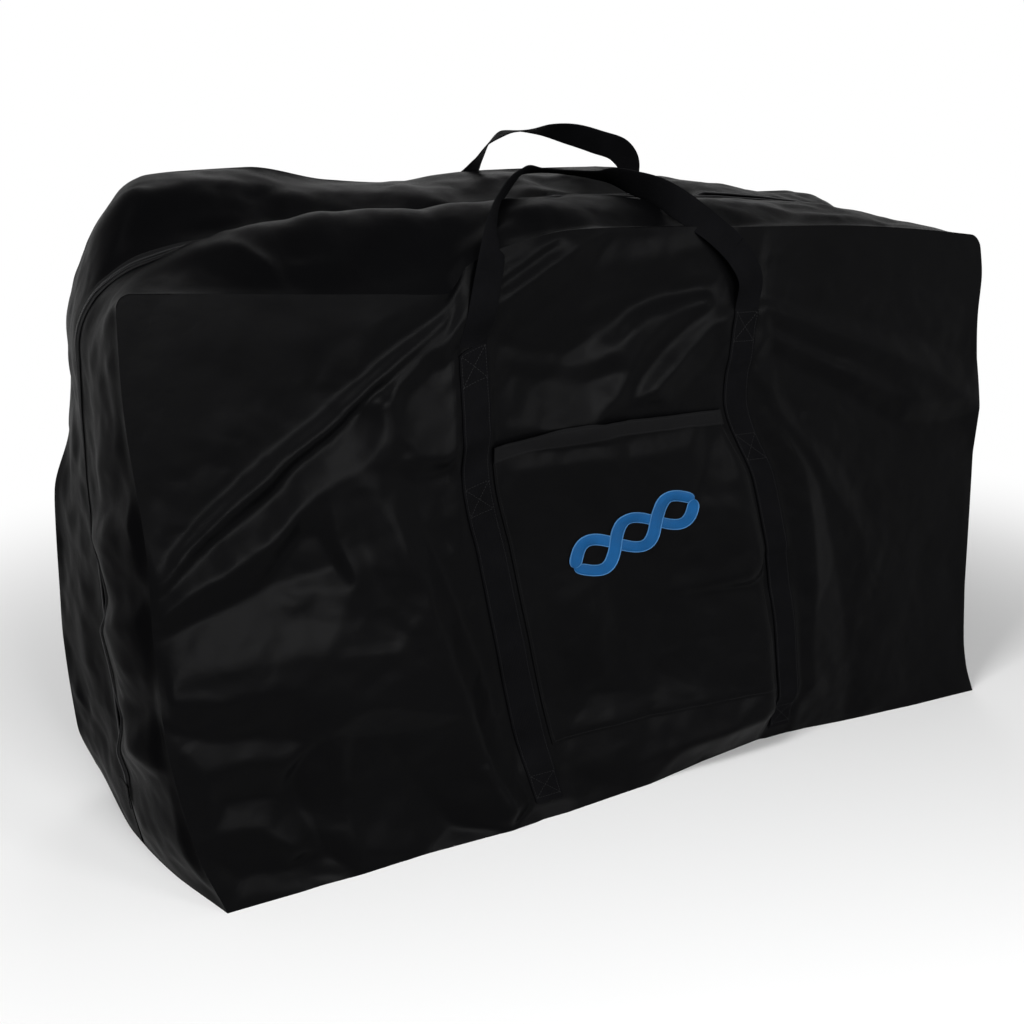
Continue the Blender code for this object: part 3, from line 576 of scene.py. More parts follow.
# Folds of the gusset halves, traced like the front's: pixels across and down, and millimetres out
GUSSET_FOLDS = {
    -1: (
        # up the left end
        ((100, 508, 0), (118, 505, 0), (140, 502, 0)),
        ((97, 535, 9), (118, 532, 9), (140, 528, 8)),
        ((93, 603, -4), (118, 600, -4), (145, 596, -3)),
        ((92, 632, 9), (118, 626, 10), (148, 618, 8)),
        ((95, 730, -4), (120, 720, -5), (150, 705, -4)),
        ((98, 752, 8), (135, 745, 9), (160, 762, 8)),
        ((112, 778, 0), (140, 774, -1), (165, 772, 0)),
        ((150, 822, 9), (185, 836, 10)),
        ((104, 345, 5), (105, 400, 6), (104, 460, 6)),
        ((133, 345, -3), (136, 400, -3), (138, 460, -3)),
        # round the upper left corner and along the top
        ((130, 288, 3), (175, 262, 6), (230, 242, 7), (300, 229, 6), (400, 216, 5)),
        ((140, 264, -5), (172, 250, -5)),
        ((215, 268, 2), (245, 252, 9), (265, 262, 9)),
        ((240, 284, 0), (285, 288, 0)),
        ((275, 262, -3), (290, 280, -3)),
        ((300, 268, 8), (345, 266, 8)),
        ((320, 285, 0), (345, 288, 0)),
        ((345, 258, 8), (400, 226, 8)),
        ((360, 262, 0), (405, 236, 0)),
        ((400, 264, -4), (455, 242, -4)),
        ((470, 262, 5), (520, 222, 7), (575, 205, 3)),
        ((520, 250, -5), (560, 226, -5)),
        ((530, 207, 6), (600, 203, 8), (690, 206, 7), (760, 211, 5), (830, 217, 4)),
        ((560, 226, -6), (620, 222, -8), (690, 222, -7), (760, 224, -5), (830, 226, -4)),
    ),
    1: (
        ((165, 192, 7), (215, 186, 8), (265, 190, 7)),
        ((180, 205, -4), (215, 208, -5), (250, 206, -4)),
        ((235, 214, -5), (280, 216, -5), (320, 212, -4)),
        ((280, 196, 7), (330, 196, 6)),
        ((420, 200, 3), (460, 190, 6)),
        ((515, 180, 9), (600, 178, 10), (690, 187, 8)),
        ((515, 213, -10), (600, 208, -11), (690, 210, -9)),
        ((700, 196, 5), (760, 204, 6), (820, 212, 4)),
    ),
}

# How finely they are looked up, how far round the outline the photograph shows, and where the slider runs
GUSSET_STEP = 0.008
GUSSET_SEEN = 2.1
SLIDER_FROM = 2.15


def seen_on_gusset(side, traced):
    """The flat places of a gusset half that show at the traced pixels."""
    low, high = gusset_box(side)
    t, y = grid_values(low, (GUSSET_SEEN, high[1]), GUSSET_STEP)
    x, z = hung(*outline(t), y)
    place, right, up, back = (np.array(v) for v in camera_axes())
    towards = np.stack([x, y, z], axis=-1) - place
    scale = FOCAL_PIXELS / -(towards @ back)
    across = PHOTO_SIZE / 2 + (towards @ right) * scale
    down = PHOTO_SIZE / 2 - (towards @ up) * scale
    found = []
    for stops in traced:
        run = []
        for a, b, rise in stops:
            nearest = np.argmin(np.hypot(across - a, down - b))
            edge = HALF_DEPTH - 0.006
            run.append((float(t.flat[nearest]), float(np.clip(y.flat[nearest], -edge, edge)), rise / 1000))
        found.append(run)
    return found


def gusset_relief(side):
    low, high = gusset_box(side)
    seam, zip_line = side * HALF_DEPTH, 0.0
    corners = (0.0, 0.35, NOMINAL_HEIGHT, 1.45, NOMINAL_HEIGHT + 2 * HALF_LENGTH, GIRTH)
    edges = [[(t, seam, 0) for t in corners], [(t, zip_line, 0) for t in corners]]
    edges += [[(end, seam, 0), (end, zip_line, 0)] for end in (0.0, GIRTH)]
    hidden = [[(2.25, side * 0.12, -0.003), (2.5, side * 0.10, 0.006), (2.75, side * 0.12, -0.002)]]
    return Relief(low, high, edges + hidden + seen_on_gusset(side, GUSSET_FOLDS[side]), 0.005)


# The rear cloth's edge and folds, which the photograph does not show: flat places and metres out
REAR_EDGE = (
    (-0.65, 0, 0.01), (0, 0, 0.004), (0.65, 0, 0.01), (0.65, 0.8, 0), (0, 0.8, 0), (-0.65, 0.8, 0),
    (-0.65, 0, 0.01),
)
REAR_FOLDS = (
    ((-0.22, 0.72, 0.010), (-0.40, 0.55, 0.018), (-0.58, 0.36, 0.012)),
    ((-0.22, 0.69, 0.0), (-0.38, 0.52, 0.002), (-0.55, 0.33, 0.0)),
    ((0.22, 0.72, 0.010), (0.38, 0.56, 0.018), (0.60, 0.42, 0.010)),
    ((0.22, 0.69, 0.0), (0.37, 0.52, 0.0), (0.58, 0.38, 0.0)),
    ((-0.18, 0.70, -0.006), (0.0, 0.60, -0.018), (0.18, 0.70, -0.006)),
    ((-0.17, 0.62, 0.006), (0.0, 0.50, 0.012), (0.17, 0.60, 0.006)),
    ((-0.19, 0.60, 0.006), (-0.24, 0.35, 0.020), (-0.27, 0.02, 0.014)),
    ((-0.15, 0.50, 0.0), (-0.18, 0.30, -0.004), (-0.19, 0.02, 0.002)),
    ((0.20, 0.60, 0.006), (0.27, 0.35, 0.018), (0.25, 0.02, 0.012)),
)


def make_rear():
    low, high = (-HALF_LENGTH, 0.0), (HALF_LENGTH, NOMINAL_HEIGHT)
    u0, v0 = grid_values(low, high, REAR_CELL)
    u, v = corner_rounded(u0, v0, ROUNDING[-1])
    folds = Relief(low, high, (REAR_EDGE,) + REAR_FOLDS, 0.008)
    small = crumples(low, high, u, v, ((0.09, 0.0045, 21, 0.006), (0.038, 0.0022, 22, 0.004),
                                       (0.018, 0.0008, 23, 0.003)))
    height = folds(u, v) + small * panel_rim(u0, v0)
    x, z = hung(u0, v0, np.full_like(u0, HALF_DEPTH))
    return Form(low, high, np.stack([x, HALF_DEPTH + height, z], axis=-1), flip=-1.0)


_forms = {}


def form(name):
    """The form by that name, made when it is first asked for."""
    if name not in _forms:
        makers = {"front": make_front, "rear": make_rear, "front gusset": lambda: make_gusset(-1),
                  "rear gusset": lambda: make_gusset(1)}
        _forms[name] = makers[name]()
    return _forms[name]


# Making meshes

def nothing_selected():
    if bpy.context.object and bpy.context.object.mode != "OBJECT":
        bpy.ops.object.mode_set(mode="OBJECT")
    bpy.ops.object.select_all(action="DESELECT")


def vertices(piece):
    flat = np.empty(len(piece.data.vertices) * 3)
    piece.data.vertices.foreach_get("co", flat)
    return flat.reshape(-1, 3)


def grid_piece(name, columns, rows):
    """A flat grid, and the places of its vertices from corner to corner as 0 to 1."""
    nothing_selected()
    bpy.ops.mesh.primitive_grid_add(x_subdivisions=columns, y_subdivisions=rows, size=2, location=(0, 0, 0))
    piece = bpy.context.object
    piece.name = piece.data.name = name
    return piece, (vertices(piece)[:, :2] + 1) / 2


def put(piece, positions):
    piece.data.vertices.foreach_set("co", np.ascontiguousarray(positions, float).ravel())
    piece.data.update()


def metric_uv(piece, a, b):
    """Writes each vertex's flat place, in metres, as the piece's UV map."""
    mesh = piece.data
    layer = mesh.uv_layers.active or mesh.uv_layers.new(name="UVMap")
    corner = np.empty(len(mesh.loops), int)
    mesh.loops.foreach_get("vertex_index", corner)
    flat = np.stack([a, b], axis=1)
    layer.data.foreach_set("uv", np.ascontiguousarray(flat[corner], float).ravel())


def modify(piece, kind, **settings):
    nothing_selected()
    piece.select_set(True)
    bpy.context.view_layer.objects.active = piece
    modifier = piece.modifiers.new(kind.title(), kind)
    for key, value in settings.items():
        setattr(modifier, key, value)
    bpy.ops.object.modifier_apply(modifier=modifier.name)


def smooth(piece, degrees):
    """Shades a piece smooth, except across edges sharper than that."""
    nothing_selected()
    piece.select_set(True)
    bpy.context.view_layer.objects.active = piece
    bpy.ops.object.shade_smooth_by_angle(angle=math.radians(degrees))


def lay(piece, positions, a, b, thickness):
    """Lays a flat grid as cloth that is thick inwards and above the floor, with a, b as its UV map."""
    put(piece, positions)
    metric_uv(piece, a, b)
    modify(piece, "SOLIDIFY", thickness=thickness, offset=-1.0)
    places = vertices(piece)
    places[:, 2] = np.maximum(places[:, 2], 0)
    put(piece, places)
    smooth(piece, 60)


def cloth_piece(name, form_name, low, high, step, thickness, out=0.0, turn=False):
    """A sheet of cloth lying on one of the forms, with its own thickness turned inwards."""
    piece, flat = grid_piece(name, *(int(round((high[k] - low[k]) / step)) for k in (0, 1)))
    if turn:
        flat = np.stack([1 - flat[:, 0], flat[:, 1]], axis=1)
    a = low[0] + flat[:, 0] * (high[0] - low[0])
    b = low[1] + flat[:, 1] * (high[1] - low[1])
    lay(piece, form(form_name).at(a, b, out), a, b, thickness)
    return piece


def finish_piece(piece, material, slot, *replaced):
    piece.data.materials.clear()
    piece.data.materials.append(material)
    if replaced:
        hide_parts(*replaced)


def move_with(piece, shell):
    """Bakes a piece of the front shell in place with its transform. A piece of the rear shell rides the rear
    shell.
    """
    if shell == "front":
        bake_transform(piece)
    else:
        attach(piece, "rear_shell")


# Webbing, stitches and small copies

def run_lengths(points):
    """How far along its path each point is."""
    return np.concatenate([[0], np.cumsum(np.linalg.norm(np.diff(points, axis=0), axis=1))])


def band_ring(width, thick):
    """Cross-section of webbing with worn round edges: places across and out, once round."""
    half, edge = width / 2, thick * 0.5
    bend = half - 0.15 * edge
    across = np.linspace(-half + edge, half - edge, 9)
    over = [(a, thick) for a in across]
    right = [(bend, thick * 0.75), (half, thick * 0.5), (bend, thick * 0.25)]
    under = [(a, 0.0) for a in across[::-1]]
    left = [(-bend, thick * 0.25), (-half, thick * 0.5), (-bend, thick * 0.75)]
    return np.array(over + right + under + left)


def band(name, rings, lengths, ring):
    """A closed band from rings of points, with the lengthwise and crosswise places as its UV map."""
    count, around = rings.shape[:2]
    piece, flat = grid_piece(name, count - 1, around)
    i = np.rint(flat[:, 0] * (count - 1)).astype(int)
    j = np.rint(flat[:, 1] * around).astype(int)
    put(piece, rings[i, j % around])
    metric_uv(piece, lengths[i], ring[j % around, 0])
    bpy.ops.object.mode_set(mode="EDIT")
    bpy.ops.mesh.select_all(action="SELECT")
    bpy.ops.mesh.remove_doubles(threshold=1e-6)
    bpy.ops.mesh.select_all(action="DESELECT")
    bpy.ops.mesh.select_non_manifold()
    bpy.ops.mesh.fill_holes(sides=0)
    bpy.ops.mesh.select_all(action="SELECT")
    bpy.ops.mesh.normals_make_consistent(inside=False)
    bpy.ops.object.mode_set(mode="OBJECT")
    smooth(piece, 50)
    return piece


def lying_band(name, form_name, a, b, sideways, width, thick, out):
    """Webbing sewn down on a form along flat places a, b, with its width in the flat direction sideways."""
    ring = band_ring(width, thick)
    cloth = form(form_name)
    rings = np.empty((len(a), len(ring), 3))
    for k in range(len(a)):
        ra = a[k] + ring[:, 0] * sideways[0]
        rb = b[k] + ring[:, 0] * sideways[1]
        rings[k] = cloth.at(ra, rb, ring[:, 1] + out)
    return band(name, rings, run_lengths(rings.mean(axis=1)), ring)


def free_band(name, path, start, width, thick):
    """Webbing through the air, along a path of its middle and the way its width lies."""
    ring = band_ring(width, thick)
    centres, across = path[:, :3], path[:, 3:]
    along = unit(np.gradient(centres, axis=0))
    across = unit(across - along * (across * along).sum(axis=1)[:, None])
    out = np.cross(along, across)
    rings = (centres[:, None] + across[:, None] * ring[None, :, :1]
             + out[:, None] * (ring[None, :, 1:] - thick / 2))
    return band(name, rings, run_lengths(centres) + start, ring)


def curve_through(stops, step):
    """A smooth path through stops of any width, with even steps along its first three values."""
    stops = np.asarray(stops, float)
    chord = run_lengths(stops[:, :3])
    count = max(4, int(round(chord[-1] / step)))
    x = np.linspace(0, chord[-1], count + 1)
    tangent = np.gradient(stops, chord, axis=0)
    low = np.clip(np.searchsorted(chord, x, side="right") - 1, 0, len(chord) - 2)
    span = (chord[low + 1] - chord[low])[:, None]
    f = ((x - chord[low])[:, None]) / span
    return (stops[low] * (1 + 2 * f) * (1 - f) ** 2 + stops[low + 1] * f * f * (3 - 2 * f)
            + span * (tangent[low] * f * (1 - f) ** 2 - tangent[low + 1] * f * f * (1 - f)))


def in_fixed_order(model):
    """A small model's points and faces in an order that is the same in each run, as a sphere's isn't."""
    points = vertices(model)
    order = np.lexsort(np.round(points, 7).T)
    rank = np.argsort(order).tolist()
    faces = []
    for face in model.data.polygons:
        corners = [rank[v] for v in face.vertices]
        first = corners.index(min(corners))
        faces.append(corners[first:] + corners[:first])
    return points[order], sorted(faces)


def copies(name, model, centres, along, across, out):
    """One mesh of many copies of a small model, each set along its own axes."""
    points, faces = in_fixed_order(model)
    placed = (centres[:, None] + points[None, :, :1] * along[:, None] + points[None, :, 1:2] * across[:, None]
              + points[None, :, 2:] * out[:, None]).reshape(-1, 3)
    many = [[v + k * len(points) for v in face] for k in range(len(centres)) for face in faces]
    new = bpy.data.meshes.new(name)
    new.from_pydata(placed.tolist(), [], many)
    new.update()
    piece = bpy.data.objects.new(name, new)
    bpy.context.collection.objects.link(piece)
    smooth(piece, 50)
    return piece


def stitch_model(length, width, height):
    nothing_selected()
    bpy.ops.mesh.primitive_uv_sphere_add(segments=6, ring_count=4, radius=1, rotation=(0, math.pi / 2, 0))
    model = bpy.context.object
    bpy.ops.object.transform_apply(location=False, rotation=True, scale=False)
    put(model, vertices(model) * (length / 2, width / 2, height / 2))
    return model


def even_places(a, b, cloth, spacing):
    """Flat places spaced evenly, in metres, along a drawn line on a form."""
    run = run_lengths(cloth.at(a, b))
    marks = np.arange(spacing / 2, run[-1], spacing)
    return np.interp(marks, run, a), np.interp(marks, run, b)


def stitches(name, form_name, rows, out, spacing=0.0040, length=0.0030, width=0.0007, height=0.0006):
    """Rows of stitches on a form: each is a line of flat places, and out is its height or gives it."""
    cloth = form(form_name)
    model = stitch_model(length, width, height)
    centres, along, across, outward = [], [], [], []
    for a, b in rows:
        a, b = np.asarray(a, float), np.asarray(b, float)
        fine = np.linspace(0, 1, 400)
        knots = np.linspace(0, 1, len(a))
        a, b = even_places(np.interp(fine, knots, a), np.interp(fine, knots, b), cloth, spacing)
        if len(a) < 2:
            continue
        place = cloth.at(a, b, out(a, b) if callable(out) else np.full(len(a), out))
        normal = cloth.facing(a, b)
        run = unit(np.gradient(place, axis=0))
        side = unit(np.cross(normal, run))
        centres.append(place)
        along.append(run)
        across.append(side)
        outward.append(np.cross(run, side))
    piece = copies(name, model, *(np.concatenate(x) for x in (centres, along, across, outward)))
    bpy.data.objects.remove(model, do_unlink=True)
    return piece


# Materials

def new_group(name, inputs, outputs):
    """A shader node group with named sockets, or the one already made."""
    tree = bpy.data.node_groups.get(name)
    if tree:
        return tree, None, None
    tree = bpy.data.node_groups.new(name, "ShaderNodeTree")
    for label, kind, value in inputs:
        socket = tree.interface.new_socket(name=label, in_out="INPUT", socket_type=kind)
        if value is not None:
            socket.default_value = value
    for label, kind in outputs:
        tree.interface.new_socket(name=label, in_out="OUTPUT", socket_type=kind)
    return tree, tree.nodes.new("NodeGroupInput"), tree.nodes.new("NodeGroupOutput")


def add_node(tree, kind, values=None, **settings):
    """A node with its settings, and values or links for its inputs by name or number."""
    node = tree.nodes.new(kind)
    for key, value in settings.items():
        setattr(node, key, value)
    for key, value in (values or {}).items():
        if isinstance(value, bpy.types.NodeSocket):
            tree.links.new(value, node.inputs[key])
        else:
            node.inputs[key].default_value = value
    return node


def maths(tree, operation, a, b=None, c=None):
    values = {0: a}
    if b is not None:
        values[1] = b
    if c is not None:
        values[2] = c
    return add_node(tree, "ShaderNodeMath", values, operation=operation).outputs[0]


def crease_group():
    """Fine creases and weave of thin cloth: a height and a shade mask over the surface."""
    tree, given, out = new_group(
        "cloth_creases",
        [("Vector", "NodeSocketVector", None), ("Crease Scale", "NodeSocketFloat", 28.0),
         ("Weave Scale", "NodeSocketFloat", 1400.0), ("Weave Height", "NodeSocketFloat", 0.08)],
        [("Height", "NodeSocketFloat"), ("Shade", "NodeSocketFloat")])
    if given is None:
        return tree
    vector = given.outputs["Vector"]
    bend = add_node(tree, "ShaderNodeTexNoise", {"Vector": vector, "Scale": 9.0, "Detail": 2.0})
    moved = add_node(tree, "ShaderNodeVectorMath", {0: bend.outputs["Color"], 1: (0.06, 0.06, 0.06)},
                     operation="MULTIPLY")
    warped = add_node(tree, "ShaderNodeVectorMath", {0: vector, 1: moved.outputs[0]}, operation="ADD")
    facets = add_node(tree, "ShaderNodeTexVoronoi",
                      {"Vector": warped.outputs[0], "Scale": given.outputs["Crease Scale"]},
                      feature="DISTANCE_TO_EDGE")
    sharp = add_node(tree, "ShaderNodeMapRange", {"Value": facets.outputs["Distance"], 1: 0.0, 2: 0.16,
                                                  3: 0.0, 4: 1.0},
                     interpolation_type="SMOOTHERSTEP")
    soft = add_node(tree, "ShaderNodeTexNoise", {"Vector": warped.outputs[0], "Scale": 46.0, "Detail": 5.0,
                                                 "Roughness": 0.62})
    ridge = maths(tree, "ABSOLUTE", maths(tree, "SUBTRACT", soft.outputs["Fac"], 0.5))
    weave = add_node(tree, "ShaderNodeTexWave", {"Vector": vector, "Scale": given.outputs["Weave Scale"]},
                     wave_type="BANDS", bands_direction="DIAGONAL")
    height = maths(tree, "ADD", maths(tree, "MULTIPLY", sharp.outputs[0], 0.12),
                   maths(tree, "MULTIPLY", ridge, -1.6))
    height = maths(tree, "MULTIPLY_ADD", weave.outputs["Fac"], given.outputs["Weave Height"], height)
    tree.links.new(height, out.inputs["Height"])
    patch = add_node(tree, "ShaderNodeTexNoise", {"Vector": vector, "Scale": 5.0, "Detail": 6.0,
                                                  "Roughness": 0.6})
    tree.links.new(patch.outputs["Fac"], out.inputs["Shade"])
    return tree


def rib_group():
    """Ribs of woven tape: height and shade from the lengthwise and crosswise places."""
    tree, given, out = new_group(
        "woven_ribs",
        [("Vector", "NodeSocketVector", None), ("Rib Pitch", "NodeSocketFloat", 0.0021),
         ("Pick Pitch", "NodeSocketFloat", 0.0014)],
        [("Height", "NodeSocketFloat"), ("Shade", "NodeSocketFloat")])
    if given is None:
        return tree
    parts = add_node(tree, "ShaderNodeSeparateXYZ", {0: given.outputs["Vector"]})
    turn = 2 * math.pi
    across = maths(tree, "MULTIPLY", maths(tree, "DIVIDE", parts.outputs["Y"], given.outputs["Rib Pitch"]),
                   turn)
    along = maths(tree, "MULTIPLY", maths(tree, "DIVIDE", parts.outputs["X"], given.outputs["Pick Pitch"]),
                  turn)
    ribs = maths(tree, "COSINE", across)
    wave = maths(tree, "SINE", maths(tree, "MULTIPLY", across, 0.5))
    slant = maths(tree, "SINE", maths(tree, "MULTIPLY_ADD", wave, 1.6, along))
    height = maths(tree, "MULTIPLY_ADD", slant, 0.28, maths(tree, "MULTIPLY", ribs, 0.30))
    fuzz = add_node(tree, "ShaderNodeTexNoise", {"Vector": given.outputs["Vector"], "Scale": 900.0,
                                                 "Detail": 3.0})
    height = maths(tree, "MULTIPLY_ADD", fuzz.outputs["Fac"], 0.35, height)
    tree.links.new(height, out.inputs["Height"])
    wear = add_node(tree, "ShaderNodeTexNoise", {"Vector": given.outputs["Vector"], "Scale": 22.0,
                                                 "Detail": 4.0})
    tree.links.new(maths(tree, "MULTIPLY_ADD", slant, 0.10, wear.outputs["Fac"]), out.inputs["Shade"])
    return tree


def textured(name, colour, spread, rough, specular, group, values, place, bump, depth):
    """A material whose colour, roughness and relief come from one of the pattern groups."""
    made = bpy.data.materials.get(name)
    if made:
        return made
    made = bpy.data.materials.new(name)
    made.use_nodes = True
    tree = made.node_tree
    node = tree.nodes["Principled BSDF"]
    node.inputs["Base Color"].default_value = (*colour, 1)
    node.inputs["Roughness"].default_value = rough[0]
    node.inputs["Specular IOR Level"].default_value = specular
    source = add_node(tree, "ShaderNodeTexCoord").outputs[place]
    pattern = add_node(tree, "ShaderNodeGroup", node_tree=group)
    tree.links.new(source, pattern.inputs["Vector"])
    for key, value in values.items():
        pattern.inputs[key].default_value = value
    low = [c * (1 - spread) for c in colour]
    high = [min(1, c * (1 + spread)) for c in colour]
    ramp = add_node(tree, "ShaderNodeMix", data_type="RGBA")
    tree.links.new(add_node(tree, "ShaderNodeMapRange",
                            {"Value": pattern.outputs["Shade"], 1: 0.25, 2: 0.75}).outputs[0],
                   ramp.inputs[0])
    ramp.inputs[6].default_value = (*low, 1)
    ramp.inputs[7].default_value = (*high, 1)
    tree.links.new(ramp.outputs[2], node.inputs["Base Color"])
    shine = add_node(tree, "ShaderNodeMapRange", {"Value": pattern.outputs["Shade"], 1: 0.2, 2: 0.8,
                                                  3: rough[1], 4: rough[0]})
    tree.links.new(shine.outputs[0], node.inputs["Roughness"])
    relief = add_node(tree, "ShaderNodeBump", {"Strength": bump, "Distance": depth,
                                               "Height": pattern.outputs["Height"]})
    tree.links.new(relief.outputs["Normal"], node.inputs["Normal"])
    return made


def colour(key):
    return tuple(getattr(bpy.context.scene.bag_colours, key))


def nylon(name="creased_black_nylon", specular=0.026):
    return textured(name, colour("nylon"), 0.18, (0.40, 0.33), specular, crease_group(), {}, "Object", 0.3,
                    0.0008)


# The front's nylon again with far less reflection, so that the end and top gussets render darker: painted
# shade, not a finish of their own
def shaded_end_nylon():
    return nylon("matt_black_nylon", 0.0055)


def webbing():
    return textured("webbing_weave", colour("webbing"), 0.22, (0.75, 0.6), 0.008, rib_group(), {}, "UV",
                    0.6, 0.0005)


def tape(name="binding_weave", pitch=0.0011):
    return textured(name, colour("tape"), 0.2, (0.8, 0.65), 0.05, rib_group(),
                    {"Rib Pitch": pitch, "Pick Pitch": 0.0009}, "UV", 0.7, 0.0003)


def coil_nylon():
    return textured("coil_teeth", colour("coil"), 0.12, (0.5, 0.4), 0.25, crease_group(),
                    {"Crease Scale": 300.0, "Weave Scale": 2500.0, "Weave Height": 0.3}, "Object", 0.3,
                    0.0002)


def sewing_thread():
    return textured("black_sewing_thread", colour("webbing"), 0.25, (0.7, 0.55), 0.15, crease_group(),
                    {"Crease Scale": 500.0, "Weave Scale": 3200.0, "Weave Height": 0.6}, "Object", 0.5,
                    0.0002)


def lacquer():
    return textured("black_lacquered_metal", colour("metal"), 0.2, (0.42, 0.28), 0.4, crease_group(),
                    {"Crease Scale": 160.0, "Weave Scale": 900.0, "Weave Height": 0.02}, "Object", 0.25,
                    0.0002)


def embroidery(name, key):
    return textured(name, colour(key), 0.16, (0.55, 0.42), 0.15, rib_group(),
                    {"Rib Pitch": 0.02, "Pick Pitch": 0.0006}, "UV", 0.9, 0.0005)


# Sizes and colours

def metres(label, says, value):
    return bpy.props.FloatProperty(name=label, description=says, default=value, unit="LENGTH")


def tint(label, says, value):
    return bpy.props.FloatVectorProperty(name=label, description=says, default=value, subtype="COLOR", size=3,
                                         min=0, max=1)


class BagSizes(bpy.types.PropertyGroup):
    cloth_thickness: metres("Cloth thickness", "Thickness of the coated nylon with its lining", 0.0012)
    webbing_width: metres("Webbing width", "Width of the handle and strap webbing", 0.040)
    webbing_thickness: metres("Webbing thickness", "Thickness of the webbing", 0.0018)
    tooth_pitch: metres("Zip tooth pitch", "Distance from one tooth of a coil to the next", 0.0021)
    stitch_spacing: metres("Stitch spacing", "Distance from one stitch to the next", 0.0042)


class BagColours(bpy.types.PropertyGroup):
    nylon: tint("Nylon", "Colour of the shell cloth", (0.0016, 0.0016, 0.0018))
    webbing: tint("Webbing", "Colour of the straps and handles", (0.0030, 0.0030, 0.0034))
    tape: tint("Tape", "Colour of the zip tape and seam binding", (0.0032, 0.0032, 0.0035))
    coil: tint("Coil", "Colour of the zip's teeth", (0.012, 0.012, 0.013))
    metal: tint("Slider metal", "Colour of the lacquered slider and pull", (0.022, 0.022, 0.024))
    thread: tint("Embroidery", "Colour of the satin stitched motif", (0.004, 0.068, 0.200))
    thread_edge: tint("Embroidery edge", "Colour of the pale cord round the motif", (0.050, 0.155, 0.330))
    floor: tint("Floor", "Colour of the studio floor", (0.86, 0.86, 0.86))
    floor_bounce: tint("Floor bounce", "Colour in which the floor lights the bag from below",
                       (0.28, 0.28, 0.28))


# Operators

class BAG_OT_front_cloth(bpy.types.Operator):
    """Front panel of creased nylon, with the folds that the handles pull in it"""
    bl_idname = "bag.front_cloth"
    bl_label = "Front cloth"

    def execute(self, context):
        piece = cloth_piece("front_cloth", "front", (-HALF_LENGTH, 0), (HALF_LENGTH, NOMINAL_HEIGHT), CELL,
                            context.scene.bag_sizes.cloth_thickness)
        finish_piece(piece, nylon(), "black_nylon", "front_panel")
        move_with(piece, "front")
        return {"FINISHED"}


# How far from the zip line the gusset cloth ends
ZIP_PARTING = 0.006
GUSSET_SIDES = (
    ("front", -HALF_DEPTH, -ZIP_PARTING, ("top_gusset_front", "left_gusset_front", "right_gusset_front")),
    ("rear", ZIP_PARTING, HALF_DEPTH, ("top_gusset_rear", "left_gusset_rear", "right_gusset_rear",
                                       "left_gusset_foot", "right_gusset_foot")),
)


class BAG_OT_gusset_cloth(bpy.types.Operator):
    """End and top gusset cloth, in a front and a rear half that part along the zip"""
    bl_idname = "bag.gusset_cloth"
    bl_label = "Gusset cloth"

    def execute(self, context):
        for shell, low, high, nodes in GUSSET_SIDES:
            piece = cloth_piece(f"{shell}_gusset_cloth", f"{shell} gusset", (0, low), (GIRTH, high),
                                GUSSET_CELL, context.scene.bag_sizes.cloth_thickness)
            # The gussets take the shaded copy of the nylon, which has less reflection: painted shade
            finish_piece(piece, shaded_end_nylon(), "black_nylon", *nodes)
            move_with(piece, shell)
        return {"FINISHED"}


class BAG_OT_rear_cloth(bpy.types.Operator):
    """Rear panel and base cloth"""
    bl_idname = "bag.rear_cloth"
    bl_label = "Rear and base cloth"

    def execute(self, context):
        sizes = context.scene.bag_sizes
        rear = cloth_piece("rear_cloth", "rear", (-HALF_LENGTH, 0), (HALF_LENGTH, NOMINAL_HEIGHT), REAR_CELL,
                           sizes.cloth_thickness, turn=True)
        finish_piece(rear, nylon(), "black_nylon", "rear_panel")
        base, flat = grid_piece("base_cloth", 160, 46)
        u = -HALF_LENGTH + 2 * HALF_LENGTH * flat[:, 0]
        y = -HALF_DEPTH + 2 * HALF_DEPTH * (1 - flat[:, 1])
        lay(base, base_places(u, y), u, y, sizes.cloth_thickness)
        finish_piece(base, nylon(), "black_nylon", "base_panel")
        for piece in (rear, base):
            move_with(piece, "rear")
        return {"FINISHED"}


def base_places(u, y):
    """The base, spanned between the feet of the front, rear and end cloth."""
    front, rear = form("front").at(u, 0 * u), form("rear").at(u, 0 * u)

    def end(t, depth):
        ahead = form("front gusset").at(t, np.minimum(depth, 0))
        behind = form("rear gusset").at(t, np.maximum(depth, 0))
        return np.where((depth < 0)[:, None], ahead, behind)

    left, right = end(0 * y, y), end(0 * y + GIRTH, y)
    f = ((u + HALF_LENGTH) / (2 * HALF_LENGTH))[:, None]
    g = ((y + HALF_DEPTH) / (2 * HALF_DEPTH))[:, None]
    corners = [end(np.full(1, t), np.full(1, d)) for d in (-HALF_DEPTH, HALF_DEPTH) for t in (0, GIRTH)]
    flat = (corners[0] * (1 - f) * (1 - g) + corners[1] * f * (1 - g) + corners[2] * (1 - f) * g
            + corners[3] * f * g)
    places = front * (1 - g) + rear * g + left * (1 - f) + right * f - flat
    places[:, 2] = np.maximum(places[:, 2], 0)
    return places


class BAG_OT_straps(bpy.types.Operator):
    """Webbing straps sewn up the front and rear panels"""
    bl_idname = "bag.straps"
    bl_label = "Sewn straps"

    def execute(self, context):
        sizes = context.scene.bag_sizes
        for panel, top in PANELS:
            for side, hand in ((-1, "left"), (1, "right")):
                v = np.linspace(STRAP_FOOT, top, 150)
                strap = lying_band(f"{panel}_strap_{hand}_webbing", panel, np.full_like(v, side * STRAP_X), v,
                                   (1.0, 0.0), sizes.webbing_width, sizes.webbing_thickness, STRAP_OFF)
                finish_piece(strap, webbing(), "black_webbing", f"{panel}_strap_{hand}")
                move_with(strap, panel)
        return {"FINISHED"}


# How far the handles' middle lies off the cloth where they leave the straps
SEWN_HEIGHT = 0.0015


